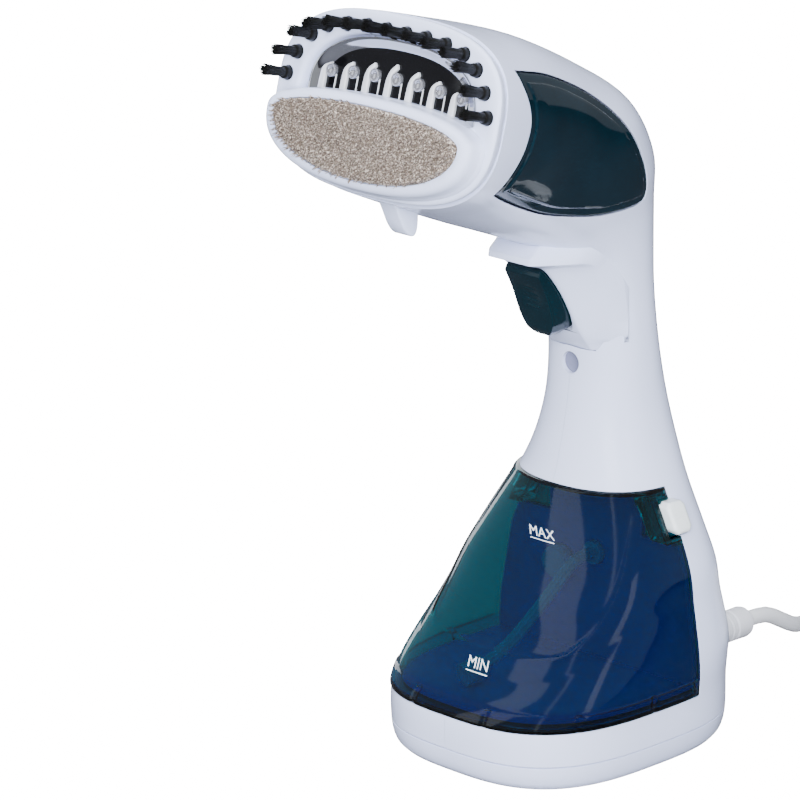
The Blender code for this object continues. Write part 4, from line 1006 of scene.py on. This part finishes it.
def make_lint_pad():
    """Short hooked pile on a curved backing, woven in slanting rows and frayed round the edge."""
    half, centre, rise, drop, power = LINT_PAD
    layers = [(6.6, 0.0), (7.9, 0.0), (8.5, 0.35), (8.9, 1.2), (9.1, 3.0)]
    layers = [(z, half - i, centre, rise - i * 0.7, drop - i, power) for z, i in layers]
    pad = oval_stack("lint_pad_pile", layers, sides=140)
    picks = random.Random(23)
    bm = bmesh.new()
    step_u, step_v = 1.75, 1.3
    slant = math.radians(58.0)
    along = Vector((math.cos(slant), -math.sin(slant), 0))
    over = Vector((math.sin(slant), math.cos(slant), 0))
    hairs = 5
    for i in range(-60, 61):
        for k in range(-60, 61):
            place = along * (i * step_u) + over * (k * step_v + (i % 2) * step_v / 2)
            place.y += centre + (rise - drop) / 2
            x, y = place.x + picks.uniform(-0.12, 0.12), place.y + picks.uniform(-0.12, 0.12)
            reach = rise if y > centre else drop
            inside = (abs(x) / (half - 0.3)) ** power + (abs(y - centre) / (reach - 0.3)) ** power
            if inside > 1.0:
                continue
            edge = smooth_step((inside - 0.86) / 0.14)
            outward = Vector((x / half, (y - centre) / reach, 0.0)).normalized()
            for _ in range(hairs):
                start = Vector((x + picks.uniform(-0.35, 0.35), y + picks.uniform(-0.3, 0.3), 8.4))
                lean = Vector((picks.uniform(-0.8, 0.4), picks.uniform(-0.9, 0.3), 0.0))
                lean += outward * edge * 1.2
                tip = start + lean + Vector((0, 0, 2.1 + picks.uniform(-0.5, 0.5) - 0.4 * edge))
                bend = Vector((picks.uniform(-0.3, 0.3), picks.uniform(0.0, 0.4), 0.0))
                fibre(bm, start, bend, tip, 0.19, 3, 3)
    hair = new_object("pile", bm)
    pad = settle(join([pad, hair]), FACE, "brush", "lint_fabric", LINT, "lint_pad", smooth=40)


def nozzle_place(number):
    x = (number - 4) * 11.15
    return x, 9.9 - 0.0016 * x * x


def make_steam_plate():
    """Bright dished rim round a plate painted black as its dark reflection, with a hooked fin and an eyelet
    at every steam hole.
    """
    rim = [(-10.0, 0.0), (-9.0, 0.0), (-3.6, 0.0), (-3.1, 0.3), (-2.9, 0.8), (-3.0, 1.3), (-3.7, 2.2),
           (-4.3, 3.1), (-4.9, 4.0), (-5.4, 5.0), (-8.0, 5.3)]
    half, rise, drop, power = 43.9, 22.6, 18.0, 2.4
    layers = [(z, half - 1.5 * i, 2.0, rise - 0.85 * i, drop - i, power) for z, i in rim]
    dish = oval_stack("steam_plate_rim", layers, sides=160)
    settle(dish, FACE, "housing", "polished_metal", CHROME, "steam_plate", smooth=50)
    levels = [(-7.6, 4.0), (PLATE_DEPTH, 4.0), (PLATE_DEPTH + 0.1, 6.0), (PLATE_DEPTH + 0.25, 14.0)]
    face = oval_stack("steam_plate_face", [(z, half - i, 2.0, rise - i, drop - i, power) for z, i in levels],
                      sides=160)
    holes = [rod("hole", 1.2, (*nozzle_place(n), -7.0), (*nozzle_place(n), 2.0), 24) for n in range(1, 8)]
    cut(face, join(holes))
    # painted reflection: the plate's black colour stands in for the dark surroundings its polished face
    # mirrors
    settle(face, FACE, "housing", "polished_metal", PLATE_PAINTED_REFLECTION, smooth=40)
    fins, lines = [], []
    for number in range(1, 8):
        x, y = nozzle_place(number)
        tip = 5.5 - 0.9 * abs(number - 4)
        hook = [(-5.6, -9.0), (-5.3, -2.6), (-4.9, 0.2), (-3.6, 0.3 + 0.5 * tip), (-1.0, tip),
                (-0.5, 0.66 * tip), (-2.4, 1.6), (-2.9, 0.0), (-2.7, -2.4), (-2.6, -9.0)]
        outline = rounded_outline(hook, (0, 4, 9), 4)
        fins.append(extruded("fin", [(x + a, y + b) for a, b in outline], PLATE_DEPTH - 0.3, -4.1, "face"))
        strip = [(x + 1.9, y - 9.0), (x + 2.35, y - 9.0), (x + 2.35, y - 1.0), (x + 1.9, y - 1.0)]
        lines.append(extruded("line", strip, PLATE_DEPTH - 0.3, -4.8, "face"))
    fin_set = join(fins + lines)
    soften(fin_set, 0.22, 2)
    settle(fin_set, FACE, "housing", "polished_metal", FIN_METAL, smooth=40)
    for number in range(1, 8):
        x, y = nozzle_place(number)
        profile = [(2.5, 3.2), (2.5, 0.55), (2.35, 0.2), (2.0, 0.0), (1.65, 0.2), (1.35, 0.75), (1.25, 0.9),
                   (0.5, 1.0)]
        ring = turned("steam_eyelet_%d" % number, profile, (x, y, -3.5), (0, 0, -1), 40)
        settle(ring, FACE, "housing", "ceramic", EYELET, "steam_nozzle_%d" % number, smooth=60)


def make_tab():
    outline = [(-116.2, 236.0), (-112.5, 228.8), (-109.3, 222.0), (-106.4, 218.4), (-103.6, 217.5),
               (-101.9, 219.6), (-101.3, 224.5), (-101.3, 232.0), (-106.0, 236.5)]
    tab = extruded("release_catch", rounded_outline(outline, (0, 7), 5), -4.6, 4.6)
    soften(tab, 0.9, 3, 30)
    settle(tab, AXIS, "release_tab", "white_plastic", WHITE, "brush_release_tab", smooth=40)


# ---------------------------------------------------------------- trigger and lamp

POCKET_OUTLINE = [
    (-60.0, 163.2), (-60.0, 194.6), (-32.0, 194.6), (-22.0, 191.5), (-14.5, 184.0), (-13.2, 175.0),
    (-15.4, 169.0), (-19.5, 165.2), (-25.0, 163.2),
]
TRIGGER_OUTLINE = [
    (-42.2, 190.8), (-40.2, 193.3), (-33.5, 193.4), (-25.0, 190.2), (-20.0, 184.0), (-17.8, 176.0),
    (-19.5, 169.8), (-24.0, 166.0), (-29.0, 164.2), (-32.0, 166.6), (-33.4, 170.5), (-37.4, 181.5),
]
SCOOP = (-58.7, 171.5, 24.0)                # centre y, z and radius of the finger hollow


def tongue_block(gap):
    """Front outline of the finger lever as a block, grown by the gap at its sides and tip."""
    tongue = [(9.0, 198.0), (9.0, 178.0), (8.7, 173.5), (7.8, 169.8), (6.2, 166.8), (3.9, 164.9),
              (1.4, 164.1)]
    right = [(x + gap, z - gap * (z < 175.0)) for x, z in tongue]
    block = extruded("tongue", right + [(-x, z) for x, z in reversed(right)], 0.0, 60.0, "face")
    block.data.transform(Matrix.Rotation(math.radians(90.0), 4, "X"))
    return block


def make_trigger_group():
    """White lip that fairs into the neck, the finger lever in its pocket, and the lamp below."""
    fairing = [(22.0, 17.0), (19.5, 12.5), (17.0, 8.6), (15.0, 5.6), (13.4, 3.3), (12.2, 1.7), (11.3, 0.7),
               (10.6, 0.15), (10.0, 0.0)]
    outline = rounded_outline(BEZEL_OUTLINE, BEZEL_CORNERS, 5)
    rings = []
    for x, push in fairing + [(-x, push) for x, push in reversed(fairing)]:
        rings.append([Vector((x, max(min(y + push, -6.0), y), z + 0.25 * push * (z < 160.0)))
                      for y, z in outline])
    bezel = skin("trigger_surround", rings)
    pocket = extruded("pocket", POCKET_OUTLINE, -9.6, 9.6)
    cut(pocket, tongue_block(0.5), "INTERSECT")
    cut(bezel, pocket)
    soften(bezel, 0.4, 3, 50)
    settle(bezel, AXIS, "housing", "white_plastic", WHITE, "trigger_bezel", smooth=40)

    lever = extruded("trigger_lever", rounded_outline(TRIGGER_OUTLINE, (0,), 5), -9.0, 9.0)
    cut(lever, tongue_block(0.0), "INTERSECT")
    soften(lever, 1.1, 4, 40)
    scoop = bmesh.new()
    bmesh.ops.create_uvsphere(scoop, u_segments=96, v_segments=64, radius=SCOOP[2])
    bmesh.ops.translate(scoop, vec=(0.0, SCOOP[0], SCOOP[1]), verts=scoop.verts)
    cut(lever, new_object("scoop", scoop))
    ribs = []
    for z, half in ((184.4, 3.0), (181.9, 3.9), (179.4, 4.0), (176.9, 3.2)):
        y = SCOOP[0] + math.sqrt(SCOOP[2] ** 2 - (z - SCOOP[1]) ** 2) + 0.15
        ribs.append(rod("rib", 0.6, (-half, y, z), (half, y, z), 20))
    cut(lever, join(ribs), "UNION")
    settle(lever, AXIS, "trigger", "trigger_plastic", TEAL, "trigger", smooth=38)

    profile = [(4.28, 0.0), (4.28, 2.9), (3.7, 2.75), (2.4, 2.4), (0.3, 2.2)]
    lens = turned("lamp_window", profile, (0, -10.2, LAMP_Z), (0, -1, 0), 48)
    settle(lens, AXIS, "housing", "lamp_lens", LAMP, "indicator_lens", smooth=50)


# ---------------------------------------------------------------- materials of the pieces

def shade_tank_foot(material):
    """Painted shade: deepen the tank's tint in its foot, below the ledge, so the white base does not show
    through.
    """
    tree = material.node_tree
    base = tree.nodes["Principled BSDF"].inputs["Base Color"]
    plain = base.links[0].from_socket
    place = tree.nodes.new("ShaderNodeTexCoord")
    split = tree.nodes.new("ShaderNodeSeparateXYZ")
    tree.links.new(place.outputs["Object"], split.inputs["Vector"])
    height = mapped(tree, split.outputs["Z"], 0.0, 1.0, 0.0300, 0.0325)
    # painted shade: darker blue below the ledge
    tree.links.new(color_mix(tree, height, (0.02, 0.40, 0.70), plain), base)


WHITE = plastic("white_plastic", (0.66, 0.71, 0.93), 0.2, grain=0.03, edge=0.45, coat=0.25, spread=0.02)
JACKET = plastic("cord_jacket", (0.62, 0.62, 0.64), 0.45, grain=0.15, grain_scale=900.0)
GLAND_MATERIAL = plastic("gland_rubber", (0.66, 0.66, 0.70), 0.42, grain=0.12, grain_scale=1100.0, edge=0.3)
STEEL = plastic("bright_steel", (0.72, 0.72, 0.74), 0.25, metal=1.0, grain=0.05)
STRAP = plastic("tie_strap", (0.03, 0.03, 0.035), 0.5, grain=0.2, grain_scale=2200.0)

NAVY = plastic("window_tint", (0.0022, 0.012, 0.019), 0.06, grain=0.0, spread=0.3, shine=0.38)
RUBBER = plastic("foot_rubber", (0.035, 0.035, 0.037), 0.7, grain=0.4, grain_scale=1500.0)
TANK = plastic("tank_tint", (0.01, 0.66, 0.73), 0.05, grain=0.0, transmission=1.0, spread=0.06, ior=1.45)
shade_tank_foot(TANK)
# deep blue: the back wall's own tint, deepened as painted shade of the dim inside seen through the tank
TANK_BACK_TINT_AND_SHADE = plastic("tank_back_tint_and_shade", (0.03, 0.13, 0.85), 0.5, grain=0.02, spread=0.1, shine=0.05)
INK = plastic("mark_ink", (0.85, 0.87, 0.88), 0.5, grain=0.1, grain_scale=3000.0)
BUTTON_WHITE = plastic("button_plastic", (0.76, 0.80, 0.80), 0.28, grain=0.05, coat=0.1, spread=0.03)
HAIR = plastic("black_hair", (0.006, 0.006, 0.0055), 0.42, grain=0.0, spread=0.5, shine=0.3)
CHROME = plastic("polished_chrome", (0.78, 0.79, 0.82), 0.07, metal=1.0, grain=0.02, grain_scale=300.0,
                 spread=0.05)
# painted reflection: the polished steam plate is coloured black in place of the dark surroundings it mirrors
PLATE_PAINTED_REFLECTION = plastic("plate_painted_dark_reflection", (0.004, 0.004, 0.005), 0.05, grain=0.0, spread=0.5, shine=0.35)
FIN_METAL = plastic("fin_metal", (0.93, 0.93, 0.95), 0.22, metal=0.4, grain=0.03, spread=0.04)
EYELET = plastic("eyelet_metal", (0.62, 0.62, 0.66), 0.16, metal=0.85, grain=0.03, spread=0.1)
TEAL = plastic("trigger_plastic", (0.0025, 0.014, 0.020), 0.12, grain=0.03, edge=0.3, spread=0.3, shine=0.32)
LAMP = plastic("lamp_lens", (0.20, 0.21, 0.31), 0.15, grain=0.03, edge=0.2, spread=0.15)


def lint_material():
    """Pile whose hairs run from brown to a pale tan that paints glints on some, with a soft sheen."""
    material, tree, shader = node_material("lint_pile")
    ramp = tree.nodes.new("ShaderNodeValToRGB")
    ramp.color_ramp.elements[0].color = (0.055, 0.040, 0.030, 1.0)
    # pale tan end: painted glints on some hairs, over the pile's brown
    ramp.color_ramp.elements[1].color = (0.80, 0.70, 0.60, 1.0)
    middle = ramp.color_ramp.elements.new(0.55)
    middle.color = (0.20, 0.152, 0.118, 1.0)
    tone_and_glint = mapped(tree, noise_value(tree, 1500.0, 1.0), 0.0, 1.0, 0.32, 0.72)
    tree.links.new(tone_and_glint, ramp.inputs["Fac"])
    tree.links.new(ramp.outputs["Color"], shader.inputs["Base Color"])
    gloss = mapped(tree, noise_value(tree, 700.0, 2.0), 0.3, 0.75)
    tree.links.new(gloss, shader.inputs["Roughness"])
    shader.inputs["Sheen Weight"].default_value = 0.25
    shader.inputs["Sheen Roughness"].default_value = 0.4
    return material


LINT = lint_material()
# deep blue: the fittings' colour, deepened as painted shade of the dim inside seen through the tank
WET_FITTING_AND_SHADE = plastic("wet_fitting_and_shade", (0.05, 0.42, 0.95), 0.5, grain=0.05, spread=0.15, shine=0.05)
DOCK = plastic("dock_plastic", (0.60, 0.62, 0.68), 0.4, grain=0.2, edge=0.3)
CASTING = plastic("cast_aluminium", (0.58, 0.58, 0.60), 0.5, metal=1.0, grain=0.5, grain_scale=500.0,
                  edge=0.3)
SHEET = plastic("sheet_steel", (0.60, 0.60, 0.62), 0.35, metal=1.0, grain=0.15, grain_scale=700.0)
PUMP_CAN = plastic("pump_can", (0.20, 0.20, 0.22), 0.35, metal=1.0, grain=0.12)
CERAMIC = plastic("ceramic_case", (0.62, 0.56, 0.46), 0.55, grain=0.3, grain_scale=900.0)
SILICONE = plastic("silicone_hose", (0.66, 0.66, 0.64), 0.45, grain=0.1)
NYLON = plastic("black_nylon", (0.015, 0.015, 0.018), 0.45, grain=0.2, edge=0.2)

CARRIED = {
    "front_bezel": WHITE, "tank_dock": DOCK, "tank_back": TANK_BACK_TINT_AND_SHADE, "outlet_valve": WET_FITTING_AND_SHADE,
    "suction_tube": WET_FITTING_AND_SHADE, "suction_filter": WET_FITTING_AND_SHADE, "filler_plug": WET_FITTING_AND_SHADE,
    "latch_spring_left": STEEL, "latch_spring_right": STEEL, "trigger_pin": STEEL, "trigger_spring": STEEL,
    "micro_switch": NYLON, "heater_block": CASTING, "heater_cover": SHEET, "thermostat": CERAMIC,
    "thermal_fuse": CERAMIC, "pump": PUMP_CAN, "pump_bracket": SHEET, "hose_tank_to_pump": SILICONE,
    "hose_pump_to_heater": SILICONE, "housing_screw_1": STEEL, "housing_screw_2": STEEL,
    "housing_screw_3": STEEL,
}


def dress_carried_nodes():
    """Give each piece that keeps its own plain shape the look of what it is made of."""
    for name, material in CARRIED.items():
        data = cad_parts[name].data
        data.materials.clear()
        data.materials.append(material)
        data.polygons.foreach_set("material_index", [0] * len(data.polygons))


# ---------------------------------------------------------------- run

make_camera()
make_stage()
make_cord_set()
make_housing()
make_base()
make_windows()
make_tank()
make_mark("mark_full", "MAX", 3.2, 84.8, 6.2, 1.05)
make_mark("mark_low", "MIN", 3.4, 40.2, 5.6, 0.8)
make_buttons()
make_brush_frame()
make_bristles()
make_lint_pad()
make_steam_plate()
make_tab()
make_trigger_group()
dress_carried_nodes()
